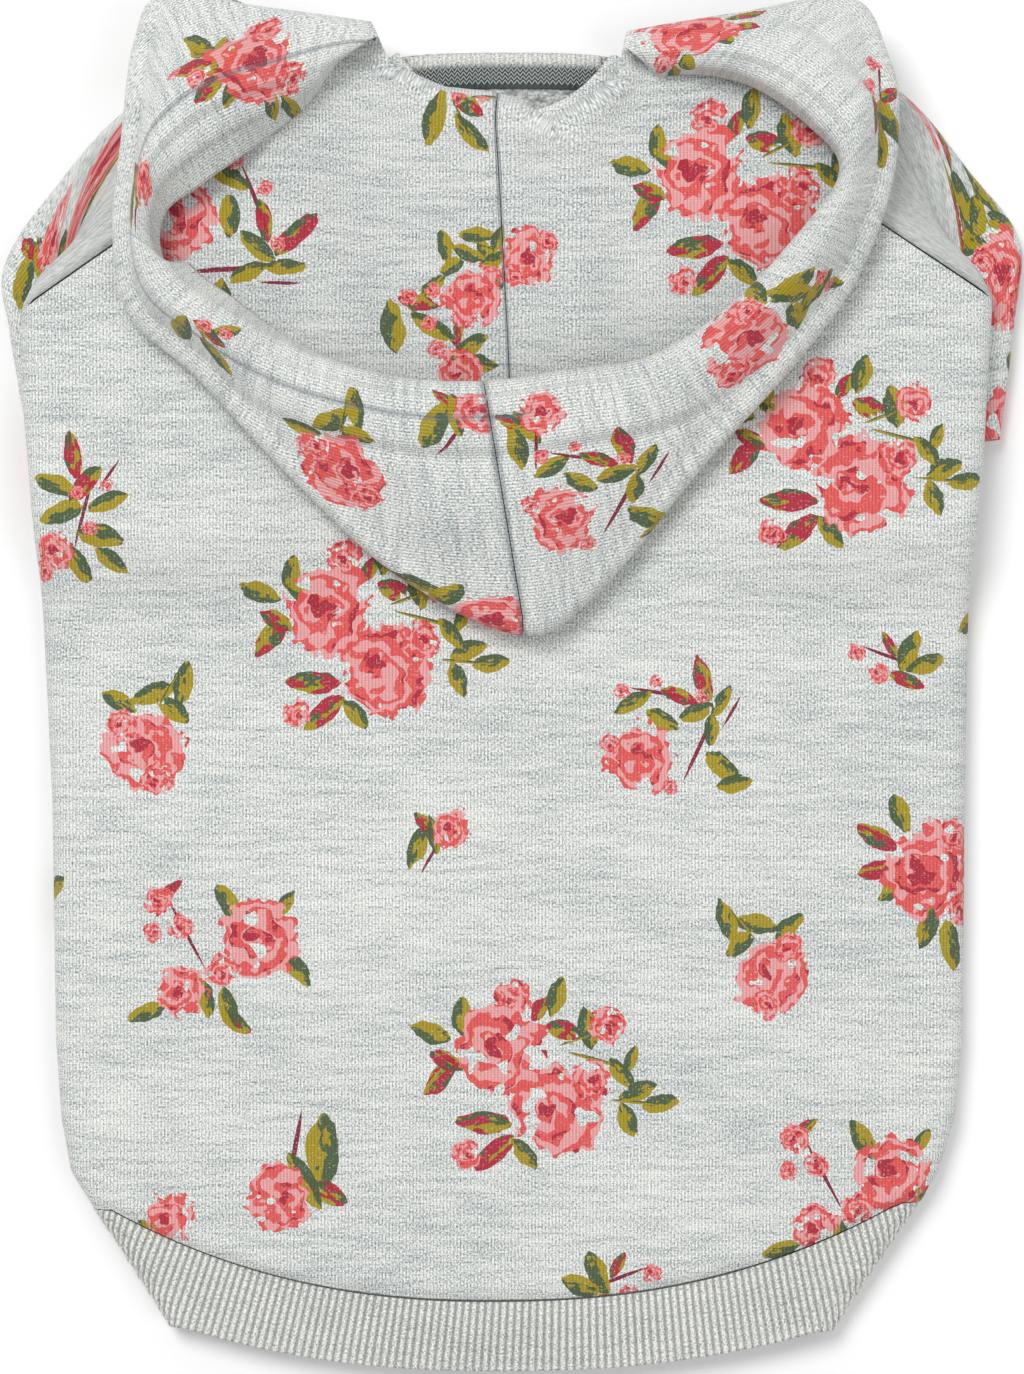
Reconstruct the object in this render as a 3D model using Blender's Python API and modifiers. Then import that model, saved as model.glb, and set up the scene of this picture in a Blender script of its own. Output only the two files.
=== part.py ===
"""Dog hoodie of sweatshirt knit, laid flat with its back side up and its hood folded down on the back.

Metres, +Z up. The underside lies on z = 0, +Y points from the hem to the neck, and the origin is under the
middle of the laid garment. Every piece is cloth: an open outer face that grows its wall inwards.
Plan places are shares: "across" of half the chest width, "along" of half the laid length.
"""

import math
from collections import namedtuple

import bmesh
import bpy

# Driving sizes of the laid garment, in metres
CHEST_WIDTH = 0.230
LAID_LENGTH = 0.3425
BODY_LOFT = 0.0105
HEM_LOFT = 0.0092
SLEEVE_LOFT = 0.0078
HOOD_WIDTH = 0.1925
HOOD_LENGTH = 0.160
HOOD_FOLD_LOFT = 0.0095
HOOD_RIM_RISE = 0.0240
RIM_TURN = 0.0060
RIM_ROLL = 0.0045
SHOULDER_DROOP = 0.0058
RIB_DEPTH = 0.0174
NECK_BAND_DEPTH = 0.0080
NECK_DIP = 0.0150

# Cloth walls
BODY_WALL = 0.0016
RIB_WALL = 0.0020
HOOD_WALL = 0.0030
BAND_WALL = 0.0014

# Small clearances between pieces
SEAM_GAP = 0.0003
RIB_SEAM_GAP = 0.0007
RAGLAN_GAP = 0.0011
HOOD_NECK_GAP = 0.0010
HOOD_SEAM_GAP = 0.0010
HOOD_SEAT_GAP = 0.0016
SLEEVE_STACK_GAP = 0.0005

HALF_CHEST = CHEST_WIDTH / 2
HALF_LENGTH = LAID_LENGTH / 2
HALF_HOOD = HOOD_WIDTH / 2
HOOD_TOP = HALF_LENGTH
HOOD_CENTRE = -0.014 * HALF_CHEST
SLEEVE_LIFT = SLEEVE_LOFT + SLEEVE_STACK_GAP

# Faces along and round each piece
BODY_ROWS = 15
FOLD_STEPS = 5
SIDE_SEAM_COLUMNS = 3
BACK_COLUMNS = 8
BACK_NECK_COLUMNS = 6
BELLY_COLUMNS = 4
RIB_ROWS = 2
RIB_COLUMNS = 14
SLEEVE_COLUMNS = 7
NECK_BAND_COLUMNS = 8
NECK_BAND_ROWS = 2
HALF_HOOD_COLUMNS = 20
NEXT_TO_SEAM = 0.99
HOOD_FLOOR_ROWS = 6
HOOD_TOP_ROWS = 5
RIM_ROLL_STEPS = 3
SLEEVE_STEPS_PER_ROW = 2
SLEEVE_SEAM_SHARE = 0.03

# The side folds of the body from the hem seam to the underarm
SideRow = namedtuple("SideRow", "along left right")
SIDES = (
    SideRow(-0.761, -0.914, 0.888),
    SideRow(-0.710, -0.962, 0.932),
    SideRow(-0.632, -0.983, 0.968),
    SideRow(-0.515, -0.995, 0.985),
    SideRow(-0.165, -1.003, 0.990),
    SideRow(0.164, -1.027, 0.999),
    SideRow(0.321, -1.047, 1.021),
    SideRow(0.456, -1.064, 1.032),
    SideRow(0.545, -1.060, 1.040),
)

# Each end of the flat hem: the seam's corner and the rib's free corner
HemEnd = namedtuple("HemEnd", "seam_across seam_along free_across free_along")
HEM_LEFT = HemEnd(-0.914, -0.764, -0.749, -0.937)
HEM_RIGHT = HemEnd(0.888, -0.753, 0.705, -0.943)
BACK_HEM_DROP = 0.138 * HALF_LENGTH
BACK_HEM_POWER = 2.3
BELLY_HEM_RISE = 0.290 * HALF_LENGTH
BELLY_HEM_POWER = 3.0

# Where the raglan seams start at the underarm and end at the neck
Raglan = namedtuple("Raglan", "arm_across arm_along neck_across neck_along")
RAGLAN_LEFT = Raglan(-1.060, 0.545, -0.247, 0.927)
RAGLAN_RIGHT = Raglan(1.040, 0.561, 0.219, 0.927)
FRONT_NECK_ALONG = 0.9335
SIDE_SEAM_SHARE = 0.17
FRONT_NECK_POWER = 4.0
BACK_NECK_POWER = 2.5
HOOD_FLOOR_START = 0.04
RIM_TURN_SHARE = 0.35

# Where each soft change of height starts and ends, as shares across or along
Slope = namedtuple("Slope", "start end")
LIFT_ACROSS = Slope(0.22, 0.66)
LIFT_ALONG = Slope(0.09, 0.24)
LOFT_ALONG = Slope(-0.95, -0.60)
DROOP_ALONG = Slope(0.80, 1.00)
DROOP_ACROSS = Slope(0.30, 0.60)
RIDGE_FADE = Slope(0.0, 0.35)
SLEEVE_BLEND_ROWS = Slope(0.25, 1.0)

# Sleeve sections from the raglan seam to the cuff: the inner fold, which slips under the body, and the
# outer fold, with the height of the inner fold's underside as a share of the lift that the sleeve gives
SleeveRow = namedtuple("SleeveRow", "inner_across inner_along outer_across outer_along inner_lift outer_loft")
SLEEVE_LEFT = (
    SleeveRow(-1.060, 0.545, -0.260, 0.921, 1.00, 1.00),
    SleeveRow(-1.030, 0.590, -0.542, 0.912, 0.60, 1.00),
    SleeveRow(-0.965, 0.620, -0.818, 0.854, 0.00, 0.90),
    SleeveRow(-0.975, 0.575, -1.003, 0.726, 0.00, 0.00),
    SleeveRow(-0.930, 0.497, -1.108, 0.615, 0.00, 0.00),
    SleeveRow(-0.808, 0.436, -1.097, 0.521, 0.00, 0.00),
    SleeveRow(-0.703, 0.361, -1.068, 0.401, 0.00, 0.00),
)
SLEEVE_RIGHT = (
    SleeveRow(1.040, 0.561, 0.236, 0.919, 1.00, 1.00),
    SleeveRow(1.012, 0.604, 0.540, 0.918, 0.60, 1.00),
    SleeveRow(0.948, 0.637, 0.821, 0.882, 0.00, 0.90),
    SleeveRow(0.958, 0.590, 1.003, 0.752, 0.00, 0.00),
    SleeveRow(0.930, 0.510, 1.108, 0.653, 0.00, 0.00),
    SleeveRow(0.812, 0.441, 1.099, 0.536, 0.00, 0.00),
    SleeveRow(0.703, 0.349, 1.068, 0.361, 0.00, 0.00),
)

# Hood sections from the left neck end round the crown to the right one. Across is a share of half the
# hood's width, down of the hood's length, and rise of the rim's rise over the bottom layer.
HoodRow = namedtuple("HoodRow", "fold_across fold_down rim_across rim_down rise")
HOOD = (
    HoodRow(-0.345, 0.039, -0.397, 0.095, 0.40),
    HoodRow(-0.631, 0.017, -0.558, 0.141, 0.62),
    HoodRow(-0.883, 0.000, -0.709, 0.180, 0.78),
    HoodRow(-0.953, 0.075, -0.818, 0.223, 0.84),
    HoodRow(-0.979, 0.216, -0.896, 0.278, 0.86),
    HoodRow(-1.003, 0.372, -0.926, 0.380, 0.86),
    HoodRow(-0.961, 0.500, -0.880, 0.466, 0.86),
    HoodRow(-0.795, 0.591, -0.727, 0.531, 0.86),
    HoodRow(-0.558, 0.742, -0.506, 0.591, 0.90),
    HoodRow(-0.273, 0.900, -0.260, 0.625, 0.96),
    HoodRow(0.047, 0.991, -0.047, 0.630, 1.00),
    HoodRow(0.247, 0.919, 0.156, 0.614, 0.97),
    HoodRow(0.506, 0.731, 0.390, 0.588, 0.92),
    HoodRow(0.740, 0.575, 0.597, 0.509, 0.88),
    HoodRow(0.896, 0.447, 0.753, 0.411, 0.86),
    HoodRow(0.984, 0.309, 0.849, 0.322, 0.86),
    HoodRow(1.008, 0.184, 0.875, 0.247, 0.86),
    HoodRow(0.982, 0.094, 0.797, 0.181, 0.84),
    HoodRow(0.891, 0.005, 0.649, 0.119, 0.76),
    HoodRow(0.584, 0.028, 0.481, 0.094, 0.60),
    HoodRow(0.312, 0.053, 0.330, 0.095, 0.40),
)
CROWN_SHARE = 10 / (len(HOOD) - 1)

# Soft ridges and dents in the upper cloth: their two ends, half width as a share of half the chest,
# and height as a share of the body's loft
Ridge = namedtuple("Ridge", "from_across from_along to_across to_along width height")
BODY_RIDGES = (
    Ridge(-0.93, -0.55, -0.55, -0.66, 0.08, -0.10),
    Ridge(-0.80, 0.06, -0.45, -0.02, 0.09, 0.09),
    Ridge(0.52, -0.08, 0.90, 0.02, 0.10, 0.10),
    Ridge(0.10, -0.45, 0.75, -0.52, 0.10, -0.09),
    Ridge(-0.45, -0.30, -0.10, -0.22, 0.09, 0.08),
)
HOOD_RIDGES = (
    Ridge(0.085, 0.80, 0.095, 0.50, 0.045, 0.16),
    Ridge(-0.40, 0.60, -0.18, 0.38, 0.06, -0.12),
    Ridge(0.30, 0.62, 0.42, 0.36, 0.06, -0.12),
)


def mix(start, end, share):
    return start + (end - start) * share


def smooth(value, slope):
    """0 before a slope's start, 1 past its end and an S curve between them."""
    share = min(max((value - slope.start) / (slope.end - slope.start), 0.0), 1.0)
    return share * share * (3 - 2 * share)


def spline(before, start, end, after, share):
    """A Catmull-Rom curve from start to end."""
    slope_in = (end - before) / 2
    slope_out = (after - start) / 2
    square = share * share
    cube = square * share
    ahead = 3 * square - 2 * cube
    return (
        start * (1 - ahead)
        + end * ahead
        + slope_in * (cube - 2 * square + share)
        + slope_out * (cube - square)
    )


def table_row(rows, share):
    """The row of a table at a share of its length, along a smooth curve through its rows."""
    place = share * (len(rows) - 1)
    index = min(int(place), len(rows) - 2)
    before = rows[max(index - 1, 0)]
    after = rows[min(index + 2, len(rows) - 1)]
    values = zip(before, rows[index], rows[index + 1], after)
    return type(rows[0])(*(spline(*four, place - index) for four in values))


def straight_row(rows, share):
    """The row of a table at a share of its length, along straight lines between its rows."""
    place = share * (len(rows) - 1)
    index = min(int(place), len(rows) - 2)
    return type(rows[0])(*(mix(*pair, place - index) for pair in zip(rows[index], rows[index + 1])))


def side_places(y):
    """The x of the left and the right side fold at y."""
    along = y / HALF_LENGTH
    if along <= SIDES[0].along:
        return SIDES[0].left * HALF_CHEST, SIDES[0].right * HALF_CHEST
    for low, high in zip(SIDES, SIDES[1:]):
        if along <= high.along:
            share = (along - low.along) / (high.along - low.along)
            return mix(low.left, high.left, share) * HALF_CHEST, mix(low.right, high.right, share) * HALF_CHEST
    return SIDES[-1].left * HALF_CHEST, SIDES[-1].right * HALF_CHEST


def arch(share, power):
    """0 at both ends of a width and 1 in its middle."""
    return 1 - abs(2 * share - 1) ** power


def lift(x, y):
    """How far the tucked sleeves lift the body's underside off the surface."""
    across = abs(x) / HALF_CHEST
    along = y / HALF_LENGTH
    return SLEEVE_LIFT * smooth(across, LIFT_ACROSS) * smooth(along, LIFT_ALONG)


def ridges(rows, x, y):
    """The height of the soft ridges at a place."""
    total = 0.0
    for row in rows:
        ax, ay = row.from_across * HALF_CHEST, row.from_along * HALF_LENGTH
        bx, by = row.to_across * HALF_CHEST, row.to_along * HALF_LENGTH
        length = math.hypot(bx - ax, by - ay)
        share = ((x - ax) * (bx - ax) + (y - ay) * (by - ay)) / length**2
        share = min(max(share, 0.0), 1.0)
        away = math.hypot(x - mix(ax, bx, share), y - mix(ay, by, share))
        total += row.height * BODY_LOFT * math.exp(-((away / (row.width * HALF_CHEST)) ** 2))
    return total


def body_loft(y):
    return mix(HEM_LOFT, BODY_LOFT, smooth(y / HALF_LENGTH, LOFT_ALONG))


def raglan_y(raglan, x):
    """The y of a raglan seam's straight line at x."""
    arm_x, arm_y = raglan.arm_across * HALF_CHEST, raglan.arm_along * HALF_LENGTH
    neck_x, neck_y = raglan.neck_across * HALF_CHEST, raglan.neck_along * HALF_LENGTH
    return mix(arm_y, neck_y, (x - arm_x) / (neck_x - arm_x))


def neck_share(x):
    left_x = RAGLAN_LEFT.neck_across * HALF_CHEST
    right_x = RAGLAN_RIGHT.neck_across * HALF_CHEST
    return (x - left_x) / (right_x - left_x)


def back_neck_y(share):
    return RAGLAN_LEFT.neck_along * HALF_LENGTH - NECK_DIP * arch(share, BACK_NECK_POWER)


def front_neck_y(share):
    corner = RAGLAN_LEFT.neck_along * HALF_LENGTH
    return mix(corner, FRONT_NECK_ALONG * HALF_LENGTH, arch(share, FRONT_NECK_POWER))


def upper_edge_y(x, front):
    """Where the body's cloth ends above x: at a raglan seam or at the neck."""
    share = neck_share(x)
    if share < 0:
        return raglan_y(RAGLAN_LEFT, x)
    if share > 1:
        return raglan_y(RAGLAN_RIGHT, x)
    return front_neck_y(share) if front else back_neck_y(share)


def hem_seam_y(share, height):
    """The hem seam: it dips at the back of the garment (height 1) and arches on the belly (height 0)."""
    corner = mix(HEM_LEFT.seam_along, HEM_RIGHT.seam_along, share) * HALF_LENGTH
    back = corner - BACK_HEM_DROP * arch(share, BACK_HEM_POWER)
    belly = corner + BELLY_HEM_RISE * arch(share, BELLY_HEM_POWER)
    return mix(belly, back, height)


# A station is one place round a flattened tube: its share of the flat width, its push outwards at a side
# fold in radii of the fold, and its height as a share of the loft.
Station = namedtuple("Station", "share push height")


def fold_stations(side, upwards):
    """The round of a side fold, at the left (side 0) or the right (side 1)."""
    found = []
    for step in range(FOLD_STEPS + 1):
        angle = math.pi * (step / FOLD_STEPS - 0.5)
        if not upwards:
            angle = -angle
        push = math.cos(angle) * (1 if side else -1)
        found.append(Station(side, push, (1 + math.sin(angle)) / 2))
    return found


def flat_stations(shares, height):
    return [Station(share, 0.0, height) for share in shares]


def spread(start, end, steps):
    """Even shares from start to end, both included."""
    return [mix(start, end, step / steps) for step in range(steps + 1)]


def neck_corner_shares():
    left_x, right_x = SIDES[-1].left * HALF_CHEST, SIDES[-1].right * HALF_CHEST
    corners = (RAGLAN_LEFT.neck_across * HALF_CHEST, RAGLAN_RIGHT.neck_across * HALF_CHEST)
    return [(corner - left_x) / (right_x - left_x) for corner in corners]


def body_point(station, reach, front):
    """A point of the body's outer face. reach runs from 0 at the hem seam to 1 at the neck or raglan."""
    bottom = hem_seam_y(station.share, station.height)
    top_left, top_right = side_places(HALF_LENGTH)
    radius = BODY_LOFT / 2
    top_x = mix(top_left + radius, top_right - radius, station.share) + station.push * radius
    y = mix(bottom, upper_edge_y(top_x, front), reach)
    left, right = side_places(y)
    loft = body_loft(y)
    x = mix(left + loft / 2, right - loft / 2, station.share) + station.push * loft / 2
    z = lift(x, y) + station.height * loft
    if station.height == 1:
        z += ridges(BODY_RIDGES, x, y) * smooth(arch(station.share, 2), RIDGE_FADE)
    return x, y, z


def rib_point(station, depth):
    """A point of the rib's outer face, from 0 at the hem seam to 1 at its free edge."""
    seam = body_point(station, 0, False)
    radius = HEM_LOFT / 2
    free_left, free_right = HEM_LEFT.free_across * HALF_CHEST, HEM_RIGHT.free_across * HALF_CHEST
    free_x = mix(free_left + radius, free_right - radius, station.share) + station.push * radius
    corner = mix(HEM_LEFT.free_along, HEM_RIGHT.free_along, station.share) * HALF_LENGTH
    back_middle = hem_seam_y(0.5, 1) - SEAM_GAP - RIB_DEPTH
    belly_middle = hem_seam_y(0.5, 0) - SEAM_GAP - RIB_DEPTH
    back = mix(corner, back_middle, arch(station.share, BACK_HEM_POWER))
    belly = mix(corner, belly_middle, arch(station.share, BELLY_HEM_POWER))
    free_y = mix(belly, back, station.height)
    gap = RIB_SEAM_GAP / math.hypot(free_x - seam[0], free_y - seam[1])
    reach = mix(gap, 1, depth)
    return mix(seam[0], free_x, reach), mix(seam[1], free_y, reach), mix(seam[2], station.height * HEM_LOFT, reach)


def sleeve_point(rows, share, station):
    """A point of a sleeve's outer face. share runs from 0 at the raglan seam to 1 at the cuff."""
    inner = straight_row(rows, share)
    outer = table_row(rows, share)
    inner_x, inner_y = inner.inner_across * HALF_CHEST, inner.inner_along * HALF_LENGTH
    outer_x, outer_y = outer.outer_across * HALF_CHEST, outer.outer_along * HALF_LENGTH
    width = math.hypot(outer_x - inner_x, outer_y - inner_y)
    out_x = (outer_y - inner_y) / width * math.copysign(1, inner_x)
    out_y = abs(outer_x - inner_x) / width
    inner_loft = mix(SLEEVE_LOFT, BODY_LOFT, inner.inner_lift)
    outer_loft = mix(SLEEVE_LOFT, BODY_LOFT, inner.outer_loft)
    loft = mix(inner_loft, outer_loft, station.share)
    reach = mix(loft / 2, width - loft / 2, station.share) + station.push * loft / 2
    x = mix(inner_x, outer_x, reach / width) + out_x * RAGLAN_GAP
    y = mix(inner_y, outer_y, reach / width) + out_y * RAGLAN_GAP
    own = SLEEVE_LIFT * inner.inner_lift * (1 - station.share) + station.height * loft
    at_seam = lift(x, y) + station.height * BODY_LOFT
    return x, y, mix(at_seam, own, smooth(share * (len(rows) - 1), SLEEVE_BLEND_ROWS))


def hood_floor(x, y):
    """The height of the hood's bottom layer, which lies on the back and droops past the shoulders."""
    droop = SHOULDER_DROOP * smooth(y / HALF_LENGTH, DROOP_ALONG)
    seat = lift(x, y) + BODY_LOFT + HOOD_SEAT_GAP
    return seat - droop * smooth(abs(x) / HALF_CHEST, DROOP_ACROSS)


def hood_places(share):
    """The neck, fold and rim places of a hood section, and the height of its rim."""
    row = table_row(HOOD, share)
    neck_left = RAGLAN_LEFT.neck_across * HALF_CHEST
    neck_right = RAGLAN_RIGHT.neck_across * HALF_CHEST
    if share < CROWN_SHARE:
        round_neck = 0.5 * share / CROWN_SHARE
    else:
        round_neck = 0.5 + 0.5 * (share - CROWN_SHARE) / (1 - CROWN_SHARE)
    neck = (mix(neck_left, neck_right, round_neck), back_neck_y(round_neck))
    fold = (HOOD_CENTRE + row.fold_across * HALF_HOOD, HOOD_TOP - row.fold_down * HOOD_LENGTH)
    rim = (HOOD_CENTRE + row.rim_across * HALF_HOOD, HOOD_TOP - row.rim_down * HOOD_LENGTH)
    return neck, fold, rim, row.rise * HOOD_RIM_RISE


def hood_column(share):
    """The outer face of the hood from the neck seam, under the hood, round its fold and up to the rim."""
    neck, fold, rim, rise = hood_places(share)
    points = []
    neck_top = hood_floor(*neck)
    points.append((neck[0], neck[1] + HOOD_NECK_GAP, neck_top - HOOD_SEAT_GAP - BODY_WALL))
    points.append((neck[0], neck[1] + HOOD_NECK_GAP, neck_top - HOOD_SEAT_GAP / 2))
    length = math.hypot(fold[0] - neck[0], fold[1] - neck[1])
    way = ((fold[0] - neck[0]) / length, (fold[1] - neck[1]) / length)
    radius = HOOD_FOLD_LOFT / 2
    flat = length - radius
    for step in range(HOOD_FLOOR_ROWS + 1):
        reach = mix(HOOD_FLOOR_START * flat, flat, step / HOOD_FLOOR_ROWS)
        x, y = neck[0] + way[0] * reach, neck[1] + way[1] * reach
        points.append((x, y, hood_floor(x, y) + max(ridges(HOOD_RIDGES, x, y), -HOOD_SEAT_GAP / 2)))
    fold_low = hood_floor(*fold)
    for step in range(1, FOLD_STEPS):
        angle = math.pi * (step / FOLD_STEPS - 0.5)
        reach = flat + radius * math.cos(angle)
        low = radius * (1 + math.sin(angle))
        points.append((neck[0] + way[0] * reach, neck[1] + way[1] * reach, fold_low + low))
    start = (neck[0] + way[0] * flat, neck[1] + way[1] * flat)
    crest = hood_floor(*rim) + rise
    back = math.hypot(rim[0] - start[0], rim[1] - start[1])
    inward = ((rim[0] - start[0]) / back, (rim[1] - start[1]) / back)
    for step in range(HOOD_TOP_ROWS + 1):
        part = step / HOOD_TOP_ROWS
        climb = math.sin(part * math.pi / 2)
        z = mix(fold_low + HOOD_FOLD_LOFT, crest, climb)
        points.append((mix(start[0], rim[0], part), mix(start[1], rim[1], part), z))
    for step in range(1, RIM_ROLL_STEPS + 1):
        angle = math.pi / 2 * step / RIM_ROLL_STEPS
        reach = RIM_ROLL * math.sin(angle)
        drop = RIM_ROLL * (1 - math.cos(angle))
        points.append((rim[0] + inward[0] * reach, rim[1] + inward[1] * reach, crest - drop))
    turn = min(RIM_TURN, RIM_TURN_SHARE * rise)
    last = points[-1]
    points.append((last[0], last[1], last[2] - turn))
    return points


def cloth_object(name, columns, wall, closed, colour, roughness, flip):
    """A sheet through columns of points, given its wall inwards from the outer face."""
    mesh = bpy.data.meshes.new(name)
    work = bmesh.new()
    rings = [[work.verts.new(point) for point in column] for column in columns]
    pairs = list(zip(rings, rings[1:]))
    if closed:
        pairs.append((rings[-1], rings[0]))
    for one, two in pairs:
        for low in range(len(one) - 1):
            corners = (one[low], two[low], two[low + 1], one[low + 1])
            work.faces.new(corners[::-1] if flip else corners)
    work.to_mesh(mesh)
    work.free()
    thing = bpy.data.objects.new(name, mesh)
    HOODIE.objects.link(thing)
    shell = thing.modifiers.new("cloth wall", "SOLIDIFY")
    shell.thickness = wall
    shell.offset = -1
    mesh.shade_smooth()
    mesh.materials.append(knit_material(name, colour, roughness))
    return thing


def knit_material(name, colour, roughness):
    material = bpy.data.materials.new(name)
    material.use_nodes = True
    shader = material.node_tree.nodes["Principled BSDF"]
    shader.inputs["Base Color"].default_value = (*colour, 1)
    shader.inputs["Roughness"].default_value = roughness
    shader.inputs["Metallic"].default_value = 0
    return material


def make_back_panel():
    left_neck, right_neck = neck_corner_shares()
    stations = flat_stations(spread(SIDE_SEAM_SHARE, 0, SIDE_SEAM_COLUMNS)[:-1], 0)
    stations += fold_stations(0, True)
    stations += flat_stations(spread(0, left_neck, BACK_COLUMNS)[1:], 1)
    stations += flat_stations(spread(left_neck, right_neck, BACK_NECK_COLUMNS)[1:], 1)
    stations += flat_stations(spread(right_neck, 1, BACK_COLUMNS)[1:-1], 1)
    stations += fold_stations(1, False)
    stations += flat_stations(spread(1, 1 - SIDE_SEAM_SHARE, SIDE_SEAM_COLUMNS)[1:], 0)
    columns = [[body_point(s, reach, False) for reach in spread(0, 1, BODY_ROWS)] for s in stations]
    return cloth_object("back_panel", columns, BODY_WALL, False, (0.60, 0.66, 0.66), 0.9, False)


def make_belly_panel():
    left_neck, right_neck = neck_corner_shares()
    seam = SIDE_SEAM_SHARE + SEAM_GAP / CHEST_WIDTH
    shares = spread(seam, left_neck, BELLY_COLUMNS)
    shares += spread(left_neck, right_neck, BELLY_COLUMNS)[1:]
    shares += spread(right_neck, 1 - seam, BELLY_COLUMNS)[1:]
    stations = flat_stations(shares, 0)
    columns = [[body_point(s, reach, True) for reach in spread(0, 1, BODY_ROWS)] for s in stations]
    return cloth_object("belly_panel", columns, BODY_WALL, False, (0.60, 0.66, 0.66), 0.9, True)


def make_hem_rib():
    stations = fold_stations(0, True)[:-1] + flat_stations(spread(0, 1, RIB_COLUMNS), 1)[:-1]
    stations += fold_stations(1, False)[:-1] + flat_stations(spread(1, 0, RIB_COLUMNS), 0)[:-1]
    columns = [[rib_point(s, 1 - depth) for depth in spread(0, 1, RIB_ROWS)] for s in stations]
    return cloth_object("hem_rib", columns, RIB_WALL, True, (0.50, 0.56, 0.54), 0.92, False)


def make_sleeve(name, rows, flip):
    stations = flat_stations(spread(0, 1, SLEEVE_COLUMNS), 0)[:-1] + fold_stations(1, True)[:-1]
    stations += flat_stations(spread(1, 0, SLEEVE_COLUMNS), 1)[:-1] + fold_stations(0, False)[:-1]
    steps = SLEEVE_STEPS_PER_ROW * (len(rows) - 1)
    shares = [0, SLEEVE_SEAM_SHARE] + spread(0, 1, steps)[1:]
    columns = [[sleeve_point(rows, share, s) for share in shares] for s in stations]
    return cloth_object(name, columns, BODY_WALL, True, (0.58, 0.64, 0.65), 0.9, flip)


def make_hood_half(name, start, end):
    shares = spread(start, end, HALF_HOOD_COLUMNS)
    if end == CROWN_SHARE:
        shares.insert(-1, mix(start, end, NEXT_TO_SEAM))
        beside_seam, aside = (-2, -1), -HOOD_SEAM_GAP / 2
    else:
        shares.insert(1, mix(end, start, NEXT_TO_SEAM))
        beside_seam, aside = (0, 1), HOOD_SEAM_GAP / 2
    columns = [hood_column(share) for share in shares]
    for seam in beside_seam:
        columns[seam] = [(x + aside, y, z) for x, y, z in columns[seam]]
    return cloth_object(name, columns, HOOD_WALL, False, (0.62, 0.67, 0.67), 0.9, False)


def make_front_neck_band():
    left_x = RAGLAN_LEFT.neck_across * HALF_CHEST + SEAM_GAP + BODY_LOFT / 2
    right_x = RAGLAN_RIGHT.neck_across * HALF_CHEST - SEAM_GAP - BODY_LOFT / 2
    top = FRONT_NECK_ALONG * HALF_LENGTH
    seat = BODY_WALL + SEAM_GAP
    columns = []
    for x in spread(left_x, right_x, NECK_BAND_COLUMNS):
        columns.append([(x, top - share * NECK_BAND_DEPTH, seat) for share in spread(0, 1, NECK_BAND_ROWS)])
    return cloth_object("front_neck_band", columns, BAND_WALL, False, (0.35, 0.38, 0.37), 0.95, False)


for leftover in list(bpy.data.objects):
    bpy.data.objects.remove(leftover)

HOODIE = bpy.data.collections.new("dog_hoodie")
bpy.context.scene.collection.children.link(HOODIE)

make_back_panel()
make_belly_panel()
make_hem_rib()
make_sleeve("sleeve_left", SLEEVE_LEFT, True)
make_sleeve("sleeve_right", SLEEVE_RIGHT, False)
make_hood_half("hood_left", 0, CROWN_SHARE)
make_hood_half("hood_right", CROWN_SHARE, 1)
make_front_neck_band()
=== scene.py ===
# %% [markdown]
# # A dog hoodie, laid flat with its back side up
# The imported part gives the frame: eight pieces of cloth as plain solids. This lesson replaces each of them by
# finer cloth in the same place, and gives it a knit, a rose print, ribs, seams and stitches.

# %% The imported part
import math

import bmesh
import bpy
import numpy as np
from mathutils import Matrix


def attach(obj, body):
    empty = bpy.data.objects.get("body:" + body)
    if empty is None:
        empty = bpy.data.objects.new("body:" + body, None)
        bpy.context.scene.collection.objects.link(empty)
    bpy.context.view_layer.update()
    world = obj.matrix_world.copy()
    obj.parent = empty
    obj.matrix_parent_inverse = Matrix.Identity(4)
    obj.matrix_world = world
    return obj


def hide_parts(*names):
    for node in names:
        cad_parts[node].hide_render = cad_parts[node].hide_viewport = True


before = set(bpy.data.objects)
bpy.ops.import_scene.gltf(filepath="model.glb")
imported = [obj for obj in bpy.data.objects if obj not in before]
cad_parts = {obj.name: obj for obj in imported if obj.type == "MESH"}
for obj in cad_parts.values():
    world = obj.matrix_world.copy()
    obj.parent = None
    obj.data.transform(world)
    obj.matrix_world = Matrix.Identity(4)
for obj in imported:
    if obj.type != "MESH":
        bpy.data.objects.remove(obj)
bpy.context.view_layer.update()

# %% [markdown]
# ## Table, light and camera
# The garment was photographed from straight above on a white table. A long lens keeps it free of distortion.
# One wide lamp and a bright surrounding give the soft light, and the lamp stands to the upper left, so that
# folds get a lit side and a shaded one.

# %% Table
work = bmesh.new()
bmesh.ops.create_grid(work, x_segments=1, y_segments=1, size=3.0)
bmesh.ops.translate(work, vec=(0, 0, -0.0004), verts=work.verts)
table_mesh = bpy.data.meshes.new("table")
work.to_mesh(table_mesh)
work.free()
table = bpy.data.objects.new("table", table_mesh)
bpy.context.scene.collection.objects.link(table)
white_table = bpy.data.materials.new("white_table")
white_table.use_nodes = True
white_table.node_tree.nodes["Principled BSDF"].inputs["Base Color"].default_value = (0.90, 0.90, 0.90, 1)
white_table.node_tree.nodes["Principled BSDF"].inputs["Roughness"].default_value = 0.9
table_mesh.materials.append(white_table)

# %% Light
scene = bpy.context.scene
scene.view_settings.view_transform = "Standard"
sky = bpy.data.worlds.new("white_room")
sky.use_nodes = True
sky.node_tree.nodes["Background"].inputs["Color"].default_value = (1.0, 1.0, 1.0, 1)
sky.node_tree.nodes["Background"].inputs["Strength"].default_value = 0.56
scene.world = sky


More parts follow.
